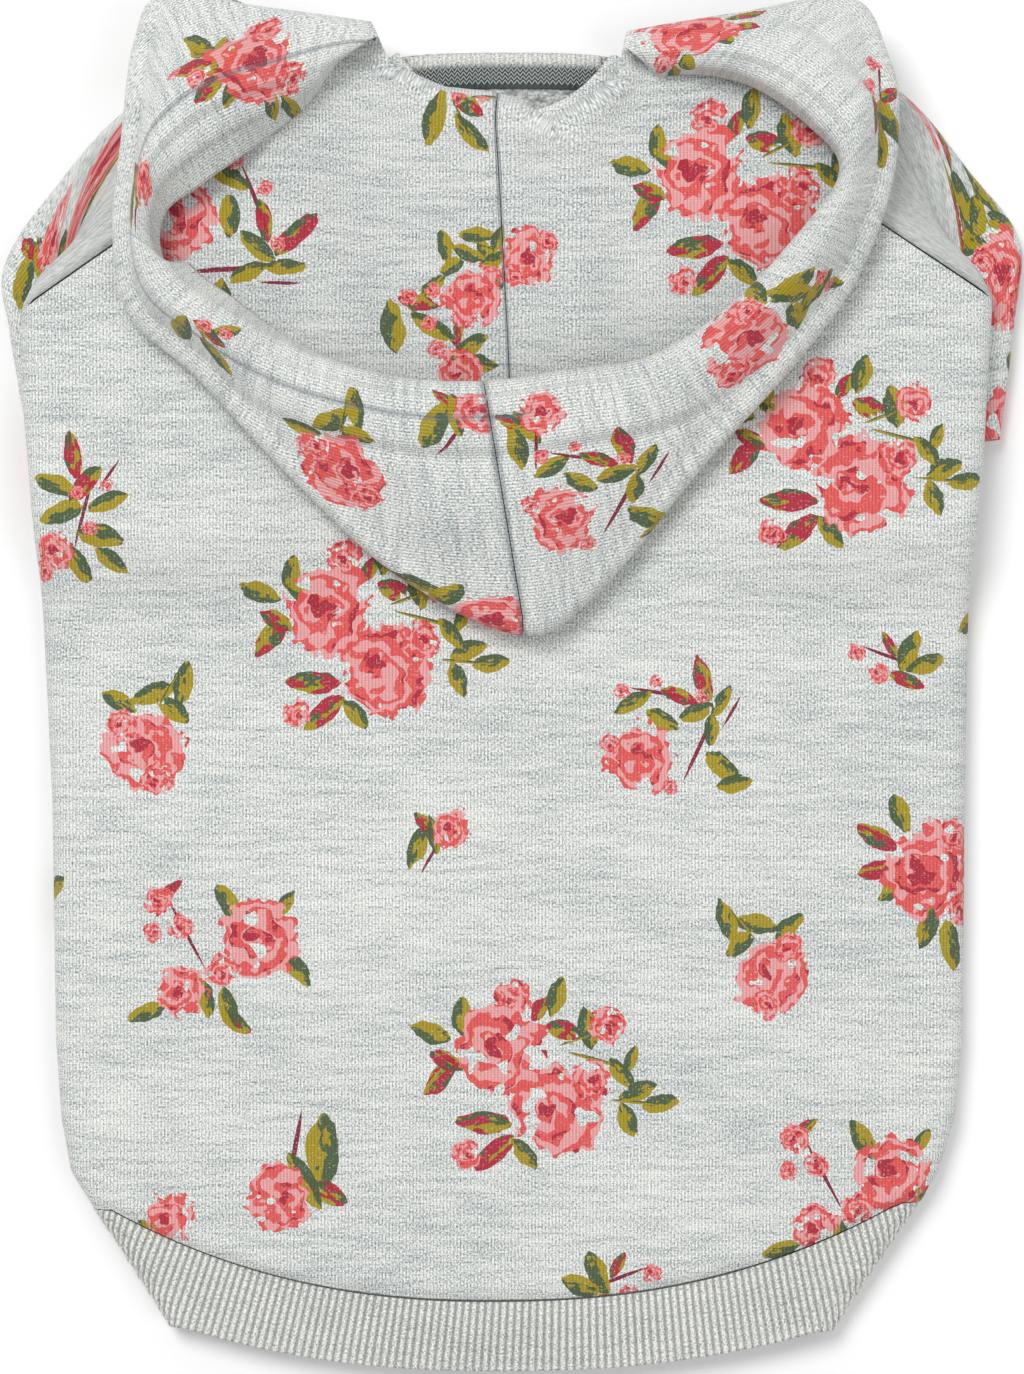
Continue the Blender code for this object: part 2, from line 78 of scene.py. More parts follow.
def soft_lamp(name, place, size, power):
    lamp = bpy.data.lights.new(name, "AREA")
    lamp.shape = "DISK"
    lamp.size = size
    lamp.energy = power
    thing = bpy.data.objects.new(name, lamp)
    scene.collection.objects.link(thing)
    thing.location = place
    thing.rotation_euler = (-thing.location).to_track_quat("-Z", "Y").to_euler()
    return thing


soft_lamp("window", (-0.6, 0.8, 1.7), 0.9, 22.4)
soft_lamp("fill", (1.1, -0.5, 1.6), 1.4, 7.8)

# %% Camera
camera = bpy.data.objects.new("camera", bpy.data.cameras.new("camera"))
scene.collection.objects.link(camera)
camera.data.lens = 100
camera.data.sensor_width = 36
PICTURE_HEIGHT = 0.3435
PLANE_OF_SCALE = 0.010
camera.location = (0.0001, 0.0, PLANE_OF_SCALE + PICTURE_HEIGHT * camera.data.lens / camera.data.sensor_width)
scene.camera = camera
print("camera", round(camera.location.z, 3), "m above the table")

# %% [markdown]
# ## Sizes and tables of the garment
# The cloth follows the same named sizes and share tables as the solids. "Across" is a share of half the chest
# width and "along" of half the laid length. A hood row gives the places of its fold and rim. Only the gaps at
# the rib and raglan seams are narrower than between the solids, because sewn cloth meets there. The wall of
# the rib is thinner too: its ribs are modelled, and they make up the rest of its thickness.

# %% Sizes
HALF_CHEST, HALF_LENGTH, HALF_HOOD = 0.115, 0.17125, 0.09625
HOOD_LENGTH, HOOD_CENTRE = 0.160, -0.014 * HALF_CHEST
BODY_LOFT, HEM_LOFT, SLEEVE_LOFT = 0.0105, 0.0092, 0.0078
HOOD_FOLD_LOFT, HOOD_RIM_RISE, RIM_ROLL, RIM_TURN = 0.0095, 0.0240, 0.0045, 0.0060
SHOULDER_DROOP, RIB_DEPTH, NECK_DIP = 0.0058, 0.0174, 0.0150
BODY_WALL, SLEEVE_WALL, RIB_SKIN, HOOD_WALL = 0.0016, 0.0010, 0.0006, 0.0030
SEAM_GAP, RIB_SEAM_GAP, RAGLAN_GAP, HOOD_SEAT_GAP = 0.0003, 0.0005, 0.0004, 0.0016
SLEEVE_LIFT = SLEEVE_LOFT + 0.0005
BACK_HEM_DROP, BACK_HEM_POWER = 0.138 * HALF_LENGTH, 2.3
BELLY_HEM_RISE, BELLY_HEM_POWER = 0.290 * HALF_LENGTH, 3
SIDES = np.array([
    (-0.761, -0.914, 0.888), (-0.710, -0.962, 0.932), (-0.632, -0.983, 0.968), (-0.515, -0.995, 0.985),
    (-0.165, -1.003, 0.990), (0.164, -1.027, 0.999), (0.321, -1.047, 1.021), (0.456, -1.064, 1.032),
    (0.545, -1.060, 1.040),
])
HEM_LEFT, HEM_RIGHT = (-0.914, -0.764, -0.749, -0.937), (0.888, -0.753, 0.705, -0.943)
RAGLAN_LEFT, RAGLAN_RIGHT = (-1.060, 0.545, -0.247, 0.927), (1.040, 0.561, 0.219, 0.927)
FRONT_NECK_ALONG, SIDE_SEAM_SHARE, CROWN_SHARE = 0.9335, 0.17, 0.5
SLEEVE_LEFT = np.array([
    (-1.060, 0.545, -0.260, 0.921, 1.00, 1.00), (-1.030, 0.590, -0.542, 0.912, 0.60, 1.00),
    (-0.965, 0.620, -0.818, 0.854, 0.00, 0.90), (-0.975, 0.575, -1.003, 0.726, 0.00, 0.00),
    (-0.930, 0.497, -1.108, 0.615, 0.00, 0.00), (-0.808, 0.436, -1.097, 0.521, 0.00, 0.00),
    (-0.703, 0.361, -1.068, 0.401, 0.00, 0.00),
])
SLEEVE_RIGHT = np.array([
    (1.040, 0.561, 0.236, 0.919, 1.00, 1.00), (1.012, 0.604, 0.540, 0.918, 0.60, 1.00),
    (0.948, 0.637, 0.821, 0.882, 0.00, 0.90), (0.958, 0.590, 1.003, 0.752, 0.00, 0.00),
    (0.930, 0.510, 1.108, 0.653, 0.00, 0.00), (0.812, 0.441, 1.099, 0.536, 0.00, 0.00),
    (0.703, 0.349, 1.068, 0.361, 0.00, 0.00),
])
# fold across, fold down, rim across, rim down, rise, and how far the facing leans into the hollow (mm)
HOOD = np.array([
    (-0.345, 0.039, -0.397, 0.095, 0.40, 1), (-0.631, 0.017, -0.558, 0.141, 0.62, 4),
    (-0.883, 0.000, -0.709, 0.180, 0.78, 8), (-0.953, 0.075, -0.818, 0.223, 0.84, 9),
    (-0.979, 0.216, -0.896, 0.278, 0.86, 7), (-1.003, 0.372, -0.926, 0.380, 0.86, 6),
    (-0.961, 0.500, -0.880, 0.466, 0.86, 6), (-0.795, 0.591, -0.727, 0.531, 0.86, 5),
    (-0.558, 0.742, -0.506, 0.591, 0.90, 2), (-0.273, 0.900, -0.260, 0.625, 0.96, 0),
    (0.047, 0.991, -0.047, 0.630, 1.00, 0), (0.247, 0.919, 0.156, 0.614, 0.97, 0),
    (0.506, 0.731, 0.390, 0.588, 0.92, 0), (0.740, 0.575, 0.597, 0.509, 0.88, 0),
    (0.896, 0.447, 0.753, 0.411, 0.86, 0), (0.984, 0.309, 0.849, 0.322, 0.86, 0),
    (1.008, 0.184, 0.875, 0.247, 0.86, 0), (0.982, 0.094, 0.797, 0.181, 0.84, 1),
    (0.891, 0.005, 0.649, 0.119, 0.76, 1), (0.584, 0.028, 0.481, 0.094, 0.60, 1),
    (0.312, 0.053, 0.330, 0.095, 0.40, 0),
])

# %% Curves through the tables


def mix(start, end, share):
    return start + (end - start) * share


def smooth(value, start, end):
    """0 before start, 1 past end and an S curve between them."""
    share = np.clip((value - start) / (end - start), 0.0, 1.0)
    return share * share * (3 - 2 * share)


def bump(value, middle, width):
    """A soft hill of height 1."""
    return np.exp(-(((value - middle) / width) ** 2))


def table_at(rows, share, curved=True):
    """The rows of a table at shares of its length, on a curve or on straight lines."""
    place = np.asarray(share, float) * (len(rows) - 1)
    index = np.clip(place.astype(int), 0, len(rows) - 2)
    t = (place - index)[..., None]
    start, end = rows[index], rows[index + 1]
    if not curved:
        return mix(start, end, t)
    before, after = rows[np.maximum(index - 1, 0)], rows[np.minimum(index + 2, len(rows) - 1)]
    ahead = 3 * t**2 - 2 * t**3
    return (start * (1 - ahead) + end * ahead + (end - before) / 2 * (t**3 - 2 * t**2 + t)
            + (after - start) / 2 * (t**3 - t**2))


def arch(share, power):
    return 1 - np.abs(2 * share - 1) ** power


def side_places(y):
    along = y / HALF_LENGTH
    return (np.interp(along, SIDES[:, 0], SIDES[:, 1]) * HALF_CHEST,
            np.interp(along, SIDES[:, 0], SIDES[:, 2]) * HALF_CHEST)


def lift(x, y):
    """The tucked sleeves lift the body's underside."""
    return SLEEVE_LIFT * smooth(np.abs(x) / HALF_CHEST, 0.22, 0.66) * smooth(y / HALF_LENGTH, 0.09, 0.24)


def body_loft(y):
    return mix(HEM_LOFT, BODY_LOFT, smooth(y / HALF_LENGTH, -0.95, -0.60))


def raglan_y(raglan, x):
    arm_x, neck_x = raglan[0] * HALF_CHEST, raglan[2] * HALF_CHEST
    return mix(raglan[1], raglan[3], (x - arm_x) / (neck_x - arm_x)) * HALF_LENGTH


def upper_edge_y(x, front):
    left_x, right_x = RAGLAN_LEFT[2] * HALF_CHEST, RAGLAN_RIGHT[2] * HALF_CHEST
    share = np.clip((x - left_x) / (right_x - left_x), 0, 1)
    corner = RAGLAN_LEFT[3] * HALF_LENGTH
    if front:
        neck = mix(corner, FRONT_NECK_ALONG * HALF_LENGTH, arch(share, 4))
    else:
        neck = corner - NECK_DIP * arch(share, 2.5)
    neck = np.where(x > right_x, raglan_y(RAGLAN_RIGHT, x), neck)
    return np.where(x < left_x, raglan_y(RAGLAN_LEFT, x), neck)


def hem_seam_y(share, height):
    corner = mix(HEM_LEFT[1], HEM_RIGHT[1], share) * HALF_LENGTH
    back = corner - BACK_HEM_DROP * arch(share, BACK_HEM_POWER)
    belly = corner + BELLY_HEM_RISE * arch(share, BELLY_HEM_POWER)
    return mix(belly, back, height)


def hood_floor(x, y):
    droop = SHOULDER_DROOP * smooth(y / HALF_LENGTH, 0.80, 1.0) * smooth(np.abs(x) / HALF_CHEST, 0.30, 0.60)
    return lift(x, y) + BODY_LOFT + HOOD_SEAT_GAP - droop


print("tables:", len(SIDES), "side rows,", len(HOOD), "hood rows")

# %% [markdown]
# ## How a sheet of cloth is made
# Each panel starts as Blender's flat grid, as cloth starts on the cutting table. Its points are then laid on
# the garment's form, and Solidify gives the wall, with a second material for the wrong side. The UV map holds
# the flat cloth in metres. Where it is true, as on the back and the belly, the knit has its real scale.

# %% A sheet


def even(start, end, step):
    """Even places from start to end, about a step apart."""
    return np.linspace(start, end, max(2, round(abs(end - start) / step) + 1))


def facing_out(places, closed=False):
    """The normals of a grid of places."""
    if closed:
        along_i = np.roll(places, -1, 0) - np.roll(places, 1, 0)
    else:
        along_i = np.gradient(places, axis=0)
    normal = np.cross(along_i, np.gradient(places, axis=1))
    return normal / np.maximum(np.linalg.norm(normal, axis=2, keepdims=True), 1e-12)


def girth(places):
    """Distances along the first axis of a grid of places."""
    steps = np.linalg.norm(np.diff(places, axis=0), axis=2)
    return np.concatenate([np.zeros((1, places.shape[1])), np.cumsum(steps, 0)])


def cloth(name, places, maps, wall, node_name, flip=False, closed=False, marks=None):
    """A sheet of cloth. maps are named UV arrays in metres, and marks are named numbers for each point."""
    wide, high = places.shape[0] + closed, places.shape[1]
    made = bmesh.new()
    bmesh.ops.create_grid(made, x_segments=wide - 1, y_segments=high - 1, size=0.5)
    mesh = bpy.data.meshes.new(name)
    made.to_mesh(mesh)
    made.free()
    flat = np.zeros(len(mesh.vertices) * 3, np.float32)
    mesh.vertices.foreach_get("co", flat)
    flat = flat.reshape(-1, 3)
    i = np.rint((flat[:, 0] + 0.5) * (wide - 1)).astype(int)
    j = np.rint((flat[:, 1] + 0.5) * (high - 1)).astype(int)
    at = places[i % places.shape[0], j]
    mesh.vertices.foreach_set("co", at.astype(np.float32).ravel())
    corner = np.zeros(len(mesh.loops), np.int32)
    mesh.loops.foreach_get("vertex_index", corner)
    for map_name, uv in maps.items():
        layer = mesh.uv_layers.new(name=map_name)
        layer.uv.foreach_set("vector", uv[i[corner], j[corner]].astype(np.float32).ravel())
    for mark_name, values in (marks or {}).items():
        mark = mesh.attributes.new(mark_name, "FLOAT", "POINT")
        mark.data.foreach_set("value", values[i % places.shape[0], j].astype(np.float32))
    thing = bpy.data.objects.new(name, mesh)
    scene.collection.objects.link(thing)
    thing["flip"], thing["closed"] = flip, closed
    shell = thing.modifiers.new("wall", "SOLIDIFY")
    shell.thickness = wall
    shell.offset = -1
    shell.material_offset = 1
    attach(thing, "root")
    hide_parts(*node_name)
    return thing


def finish_sheet(thing, outer, inner):
    """Closes a tube, turns the right side out and puts the two materials on."""
    mesh = thing.data
    made = bmesh.new()
    made.from_mesh(mesh)
    if thing["closed"]:
        bmesh.ops.remove_doubles(made, verts=made.verts, dist=1e-6)
    if thing["flip"]:
        bmesh.ops.reverse_faces(made, faces=made.faces)
    made.to_mesh(mesh)
    made.free()
    del thing["flip"], thing["closed"]
    mesh.materials.append(outer)
    mesh.materials.append(inner)
    mesh.shade_smooth()
    uv = np.zeros(len(mesh.loops) * 2, np.float32)
    mesh.uv_layers["cloth"].uv.foreach_get("vector", uv)
    spans = np.ptp(uv.reshape(-1, 2), axis=0)
    area = sum(p.area for p in mesh.polygons)
    print(thing.name, len(mesh.polygons), "faces, flat", spans.round(4), "m, surface", round(area, 4), "m2")


# %% [markdown]
# ## The rose print
# The print is a common cottage-rose pattern: bouquets, single roses, buds and sprigs, scattered with wide
# spaces. A picture could carry it, but a drawing that the material makes stays sharp from near. So each rose
# and leaf stores its own place on the faces round it, and the material draws the petals from that place.
# Elements that lie close together go to different layers, so that none cuts off its neighbour.

# %% Motifs
# In millimetres: roses (x, y, radius), then leaves and stems (x, y, turn, half length, half width, kind)
PLAIN, STEM, RED = 0.1, 0.3, 0.7
MOTIFS = {
    "bouquet": (
        [(-7.8, 5.5, 11), (6.5, -8.8, 11.5), (-4.2, 18.5, 4.6), (19.6, 12, 4.6), (-15.8, -20.5, 3.6),
         (15, -2, 5)],
        [(-17.3, 14.5, 80, 3.6, 1.8, PLAIN), (-25.0, 9.8, 160, 4.2, 2.0, PLAIN),
         (-21, 2.8, 150, 3.6, 1.7, RED), (-22.4, -1.5, 230, 4.6, 2.0, RED), (6.6, 19, 75, 4.0, 1.9, PLAIN),
         (2.4, 15.8, 60, 2.8, 1.5, RED), (8.4, 10.5, -20, 3.6, 2.0, RED),
         (14.6, 11.0, 100, 4.2, 2.2, PLAIN), (-11.5, -12.6, 0, 5.6, 2.2, RED),
         (-9.0, -20.2, 40, 5.2, 2.1, RED), (-1.2, -20.4, -50, 3.8, 1.7, PLAIN),
         (27.0, -4.6, 20, 3.8, 1.9, PLAIN), (32.6, -7.8, 10, 3.8, 1.8, PLAIN),
         (24.4, -11.8, -70, 3.6, 1.8, PLAIN), (22.8, -0.4, -50, 3.8, 1.6, PLAIN),
         (25.2, 3.2, 70, 2.8, 1.3, PLAIN), (11.5, 8.2, 20, 4.5, 0.6, PLAIN),
         (17.0, 3.0, -15, 8.5, 0.7, PLAIN), (26.0, -7.4, -5, 6.5, 0.6, PLAIN),
         (-14, 9, 150, 4, 1.4, PLAIN)],
    ),
    "single": (
        [(0, -2, 9.6), (-5.5, 4.5, 4.0), (3, -9, 4.0)],
        [(2.0, 12.2, 20, 4.6, 2.1, PLAIN), (9.6, 14.6, 80, 4.6, 2.0, PLAIN),
         (-6.4, 10.2, 150, 3.8, 1.8, PLAIN), (7.0, 8.0, -35, 4.0, 1.9, PLAIN),
         (5.5, 12.5, 60, 5.0, 0.5, PLAIN)],
    ),
    "berries": (
        [(-7.5, -6.3, 8.6), (-12.5, 10.5, 2.0), (-15.4, -2.6, 2.4), (-0.5, -13.5, 2.0), (7.5, 9.2, 1.7),
         (-4, 13, 1.6)],
        [(7.6, 13.5, 105, 4.6, 1.8, RED), (1.8, 9.2, 160, 3.8, 1.5, RED), (12.4, 8.0, 60, 3.6, 1.4, PLAIN),
         (6.0, 5.2, 20, 3.8, 1.7, PLAIN), (12.4, -8.2, -40, 4.2, 2.0, PLAIN),
         (15.5, -12.6, 10, 3.6, 1.8, PLAIN), (-9.8, 7.6, 30, 4.2, 1.6, PLAIN),
         (-3.0, 10.0, 170, 8.0, 0.6, STEM), (7.2, -2.6, 65, 10.5, 0.7, STEM),
         (15.0, 5.5, 60, 4.5, 0.5, STEM), (-2.6, 3.4, -30, 3.8, 1.7, PLAIN),
         (9.8, 0.6, 85, 3.2, 1.5, PLAIN)],
    ),
    "sprig": (
        [(-4.5, -6.6, 4.6), (4.2, -1.2, 1.9), (-7.8, -10.8, 3.0), (1.2, 7.4, 1.7), (8.2, 9.0, 1.5)],
        [(0.2, 16.0, 100, 4.4, 1.7, RED), (-4.0, 9.2, 160, 4.4, 1.8, PLAIN), (3.2, 9.6, 50, 4.4, 1.8, RED),
         (8.4, 5.2, 20, 4.0, 1.7, PLAIN), (-2.4, 2.6, 200, 4.4, 2.0, PLAIN),
         (6.6, -3.0, -10, 4.4, 2.2, PLAIN), (0.8, -9.4, -60, 4.0, 1.9, PLAIN),
         (9.0, -8.6, -35, 3.6, 1.7, PLAIN), (2.8, 3.0, 75, 9.0, 0.6, STEM),
         (8.6, 11.4, 55, 4.5, 0.5, STEM)],
    ),
    "cluster": (
        [(11.3, 3.8, 10), (-8.5, -9.5, 6.2), (-14.0, 13.0, 3.6), (-8.6, 6.4, 3.2), (1.5, -4.8, 4.0),
         (-15.5, 5.0, 2.4)],
        [(3.2, 12.6, 120, 4.4, 1.9, PLAIN), (20.0, -3.6, -50, 4.4, 1.9, PLAIN),
         (-17.0, -15.0, 200, 4.0, 1.7, PLAIN), (3.4, -14.0, -75, 4.4, 1.9, PLAIN),
         (-2.2, -11.5, -80, 3.8, 1.6, PLAIN), (-7.0, 4.5, -62, 10.0, 0.6, STEM),
         (-11.6, 15.2, 40, 3.4, 1.2, RED), (5.2, -17.6, -35, 3.4, 1.6, RED),
         (17.5, 12.0, 55, 3.2, 1.4, PLAIN)],
    ),
    "bud": (
        [(2.6, 1.8, 4.8)],
        [(-5.6, -2.4, 70, 4.4, 1.9, PLAIN), (-1.6, 0.6, 100, 3.8, 1.3, PLAIN),
         (-2.2, -4.6, 60, 5.5, 0.5, STEM), (-4.2, 3.6, 130, 2.6, 1.2, RED)],
    ),
    "twig": (
        [(-9.6, 2.4, 2.2), (-4.0, -2.8, 2.6)],
        [(3.4, 2.4, 65, 4.6, 2.0, PLAIN), (7.6, -0.6, 20, 4.0, 2.0, PLAIN), (3.0, -4.6, -20, 3.6, 1.5, RED),
         (-1.0, 1.2, 160, 8.0, 0.6, STEM), (-1.4, 4.4, 120, 2.8, 1.1, RED)],
    ),
    "rose": (
        [(0, 0, 11.3), (7, 9, 4.4), (9, -9, 4.8)],
        [(-13.6, 8.8, 150, 4.6, 2.0, RED), (-7.6, 14.8, 110, 4.2, 1.9, PLAIN),
         (-13.0, 0.6, 190, 4.2, 1.9, RED), (-9.4, -4.4, 220, 3.6, 1.6, PLAIN),
         (-0.5, -13.6, 250, 4.6, 2.0, PLAIN), (5.2, -18.4, -80, 5.2, 2.2, PLAIN)],
    ),
    "leaves": (
        [(1.6, 4.0, 2.0), (7.4, 3.6, 1.8)],
        [(-4.4, -1.2, 75, 5.0, 2.3, PLAIN), (3.2, 2.2, 150, 3.8, 1.4, RED),
         (4.6, -4.4, -50, 4.6, 1.6, PLAIN), (7.6, 4.4, 20, 3.0, 1.2, PLAIN),
         (2.4, -0.8, -60, 4.0, 0.5, PLAIN)],
    ),
}

# %% Laying the motifs on a sheet
ROSE_LAYERS, LEAF_LAYERS, FAR_AWAY = 2, 3, 9.0
# The painted edges are ragged, so the shapes are laid out a little larger. A stem stays thin.
ROSE_SIZE, LEAF_SIZE, STEM_WIDTH = 1.03, 1.28, 0.75


def laid_out(placed):
    """The roses and leaves of placed motifs (name, x, y, turn, size, mirror), in metres on the flat cloth."""
    roses, leaves = [], []
    for number, (name, x, y, turn, size, mirror) in enumerate(placed):
        c, s = math.cos(math.radians(turn)) * size / 1000, math.sin(math.radians(turn)) * size / 1000
        for count, (rx, ry, radius) in enumerate(MOTIFS[name][0]):
            rx = rx * mirror
            reach = radius * size * ROSE_SIZE / 1000
            roses.append((x + rx * c - ry * s, y + rx * s + ry * c, math.radians(turn + 40 * count),
                          reach, reach, number * 3.0 + count * 1.7))
        for count, (lx, ly, angle, long, wide, kind) in enumerate(MOTIFS[name][1]):
            lx, angle = lx * mirror, angle if mirror > 0 else 180 - angle
            long, wide = (long * LEAF_SIZE, wide * LEAF_SIZE) if wide > 1 else (long, wide * STEM_WIDTH)
            leaves.append((x + lx * c - ly * s, y + lx * s + ly * c, math.radians(turn + angle),
                           long * size / 1000, wide * size / 1000, float(number * 7 + count) + kind))
    return roses, leaves


REACH, ROOM_ENOUGH = 1.3, 0.002  # how far an element's frayed edge reaches, and the room that it needs


def in_layers(elements, layers):
    """Deals elements out to layers so that near neighbours are in different ones."""
    dealt = [[] for _ in range(layers)]
    for one in sorted(elements, key=lambda e: -e[3]):
        room = []
        for layer in dealt:
            gaps = [math.hypot(one[0] - e[0], one[1] - e[1]) - REACH * (one[3] + e[3]) for e in layer]
            room.append(min(gaps, default=1.0))
        best = next((k for k, gap in enumerate(room) if gap > ROOM_ENOUGH), int(np.argmax(room)))
        dealt[best].append(one)
    return dealt


# A face belongs to an element within so many of its half lengths. A stem is searched as if it were this wide.
NEAR_ENOUGH, THIN_STEM = 2.4, 0.0012


def print_on(thing, map_name, prefix, placed):
    """Stores on each face where it lies in the rose and the leaf that are nearest to it."""
    mesh = thing.data
    uv = np.zeros(len(mesh.loops) * 2, np.float32)
    mesh.uv_layers[map_name].uv.foreach_get("vector", uv)
    uv = uv.reshape(-1, 4, 2).astype(float)
    middle = uv.mean(1)
    roses, leaves = laid_out(placed)
    for kind, layers in (("rose", in_layers(roses, ROSE_LAYERS)), ("leaf", in_layers(leaves, LEAF_LAYERS))):
        for number, layer in enumerate(layers):
            own = np.full((len(middle), 4, 3), FAR_AWAY)
            best = np.full(len(middle), NEAR_ENOUGH)
            for x, y, angle, long, wide, seed in layer:
                c, s = math.cos(angle), math.sin(angle)
                for_long = (middle[:, 0] - x) * c + (middle[:, 1] - y) * s
                for_wide = (middle[:, 1] - y) * c - (middle[:, 0] - x) * s
                slim = max(wide, THIN_STEM)
                far = np.hypot(for_long / long, for_wide / slim)
                near = far < best
                best[near] = far[near]
                dx, dy = uv[near, :, 0] - x, uv[near, :, 1] - y
                own[near] = np.stack([(dx * c + dy * s) / long, (dy * c - dx * s) / wide,
                                      np.full(dx.shape, seed)], 2)
            mark = mesh.attributes.new(f"{prefix}_{kind}_{number}", "FLOAT_VECTOR", "CORNER")
            mark.data.foreach_set("vector", own.astype(np.float32).ravel())
    print(thing.name, prefix, len(roses), "roses and buds,", len(leaves), "leaves and stems")


# %% Motifs placed as they are seen from above


ON_THIS_PIECE = 0.0025


def pinned(places, cloth_map, seen, placed):
    """Turns motifs that are placed as seen from above into places and turns on the flat cloth. A motif whose
    middle isn't on this piece is left to the next one, because a seam cuts the print off."""
    found = []
    for name, x, y, turn, size, mirror in placed:
        away = np.where(seen, np.hypot(places[:, :, 0] - x, places[:, :, 1] - y), 9.0)
        i, j = np.unravel_index(np.argmin(away), away.shape)
        if away[i, j] > ON_THIS_PIECE:
            continue
        i0, i1, j0, j1 = max(i - 2, 0), min(i + 2, len(places) - 1), j - 1, min(j + 1, places.shape[1] - 1)
        plan = np.stack([places[i1, j, :2] - places[i0, j, :2], places[i, j1, :2] - places[i, j0, :2]], 1)
        flat = np.stack([cloth_map[i1, j] - cloth_map[i0, j], cloth_map[i, j1] - cloth_map[i, j0]], 1)
        back = flat @ np.linalg.inv(plan)
        up = back @ (-math.sin(math.radians(turn)), math.cos(math.radians(turn)))
        handed = 1 if np.linalg.det(back) > 0 else -1
        found.append((name, *cloth_map[i, j], math.degrees(math.atan2(-up[0], up[1])), size, mirror * handed))
    return found


# %% [markdown]
# ## Materials
# The cloth is a heather sweatshirt knit: pale yarn with darker blue-grey fibres, which lie in streaks along
# the courses, and fine columns of stitches, the wales, 0.85 mm apart. Small helpers keep the node code short.

# %% Node helpers


def put(tree, kind, values=(), **settings):
    """A node with its settings, its inputs filled in order with numbers or links."""
    made = tree.nodes.new(kind)
    for key, value in settings.items():
        setattr(made, key, value)
    for place, value in enumerate(values):
        if isinstance(value, bpy.types.NodeSocket):
            tree.links.new(value, made.inputs[place])
        elif value is not None:
            made.inputs[place].default_value = value
    return made


def calc(tree, operation, *values):
    return put(tree, "ShaderNodeMath", values, operation=operation).outputs[0]


def vector(tree, operation, *values):
    return put(tree, "ShaderNodeVectorMath", values, operation=operation).outputs[0]


def vector_length(tree, of):
    return put(tree, "ShaderNodeVectorMath", (of,), operation="LENGTH").outputs[1]


def split(tree, of):
    """The x, y and z of a vector."""
    return put(tree, "ShaderNodeSeparateXYZ", (of,)).outputs


def stored(tree, name, output="Fac"):
    """What a mesh stores under this name: a number, or a vector with output Vector."""
    return put(tree, "ShaderNodeAttribute", attribute_name=name).outputs[output]


def noise(tree, at, scale, detail, output=0):
    """A noise value (output 0) or colour (output 1)."""
    return put(tree, "ShaderNodeTexNoise", (at, None, scale, detail)).outputs[output]


def grain(tree, uv, across, along, detail=2):
    """Noise on the flat cloth, with so many grains to a metre."""
    return noise(tree, vector(tree, "MULTIPLY", uv, (across, along, 1)), 1.0, detail)


def blend(tree, share, first, second, kind="MIX"):
    return put(tree, "ShaderNodeMixRGB", (share, first, second), blend_type=kind).outputs[0]


def shaded(tree, colour, level):
    """A colour multiplied by a grey of this level."""
    grey = put(tree, "ShaderNodeCombineColor", (level, level, level)).outputs[0]
    return blend(tree, 1.0, colour, grey, "MULTIPLY")


def relief(tree, shader, height, strength, depth):
    raised = put(tree, "ShaderNodeBump")
    raised.inputs["Strength"].default_value = strength
    raised.inputs["Distance"].default_value = depth
    tree.links.new(height, raised.inputs["Height"])
    tree.links.new(raised.outputs[0], shader.inputs["Normal"])


def paint(red, green, blue):
    """A colour as a screen shows it, for a shader's socket."""
    return (*[((c + 0.055) / 1.055) ** 2.4 if c > 0.04 else c / 12.92 for c in (red, green, blue)], 1)


def group(name, outputs):
    tree = bpy.data.node_groups.new(name, "ShaderNodeTree")
    tree.interface.new_socket("At", in_out="INPUT", socket_type="NodeSocketVector")
    for output, kind in outputs:
        tree.interface.new_socket(output, in_out="OUTPUT", socket_type=kind)
    return tree, tree.nodes.new("NodeGroupInput").outputs[0], tree.nodes.new("NodeGroupOutput")


# %% [markdown]
# A painted rose is a whirl of petals round a dark heart. The whirl is a spiral of distance and angle, noise
# bends it and frays its edges, and two limits turn it into three inks: light pink, coral and crimson. Here
# and there the bare cloth shows through, as it does where a screen print leaves a petal open.

# %% Rose and leaf inks
LIGHT_PINK, CORAL, CRIMSON = paint(0.92, 0.64, 0.64), paint(0.89, 0.35, 0.34), paint(0.70, 0.16, 0.24)
OLIVE, DARK_GREEN, MAROON = paint(0.66, 0.58, 0.09), paint(0.31, 0.38, 0.25), paint(0.52, 0.13, 0.22)
INK_AND_COLOUR = (("Ink", "NodeSocketFloat"), ("Colour", "NodeSocketColor"))


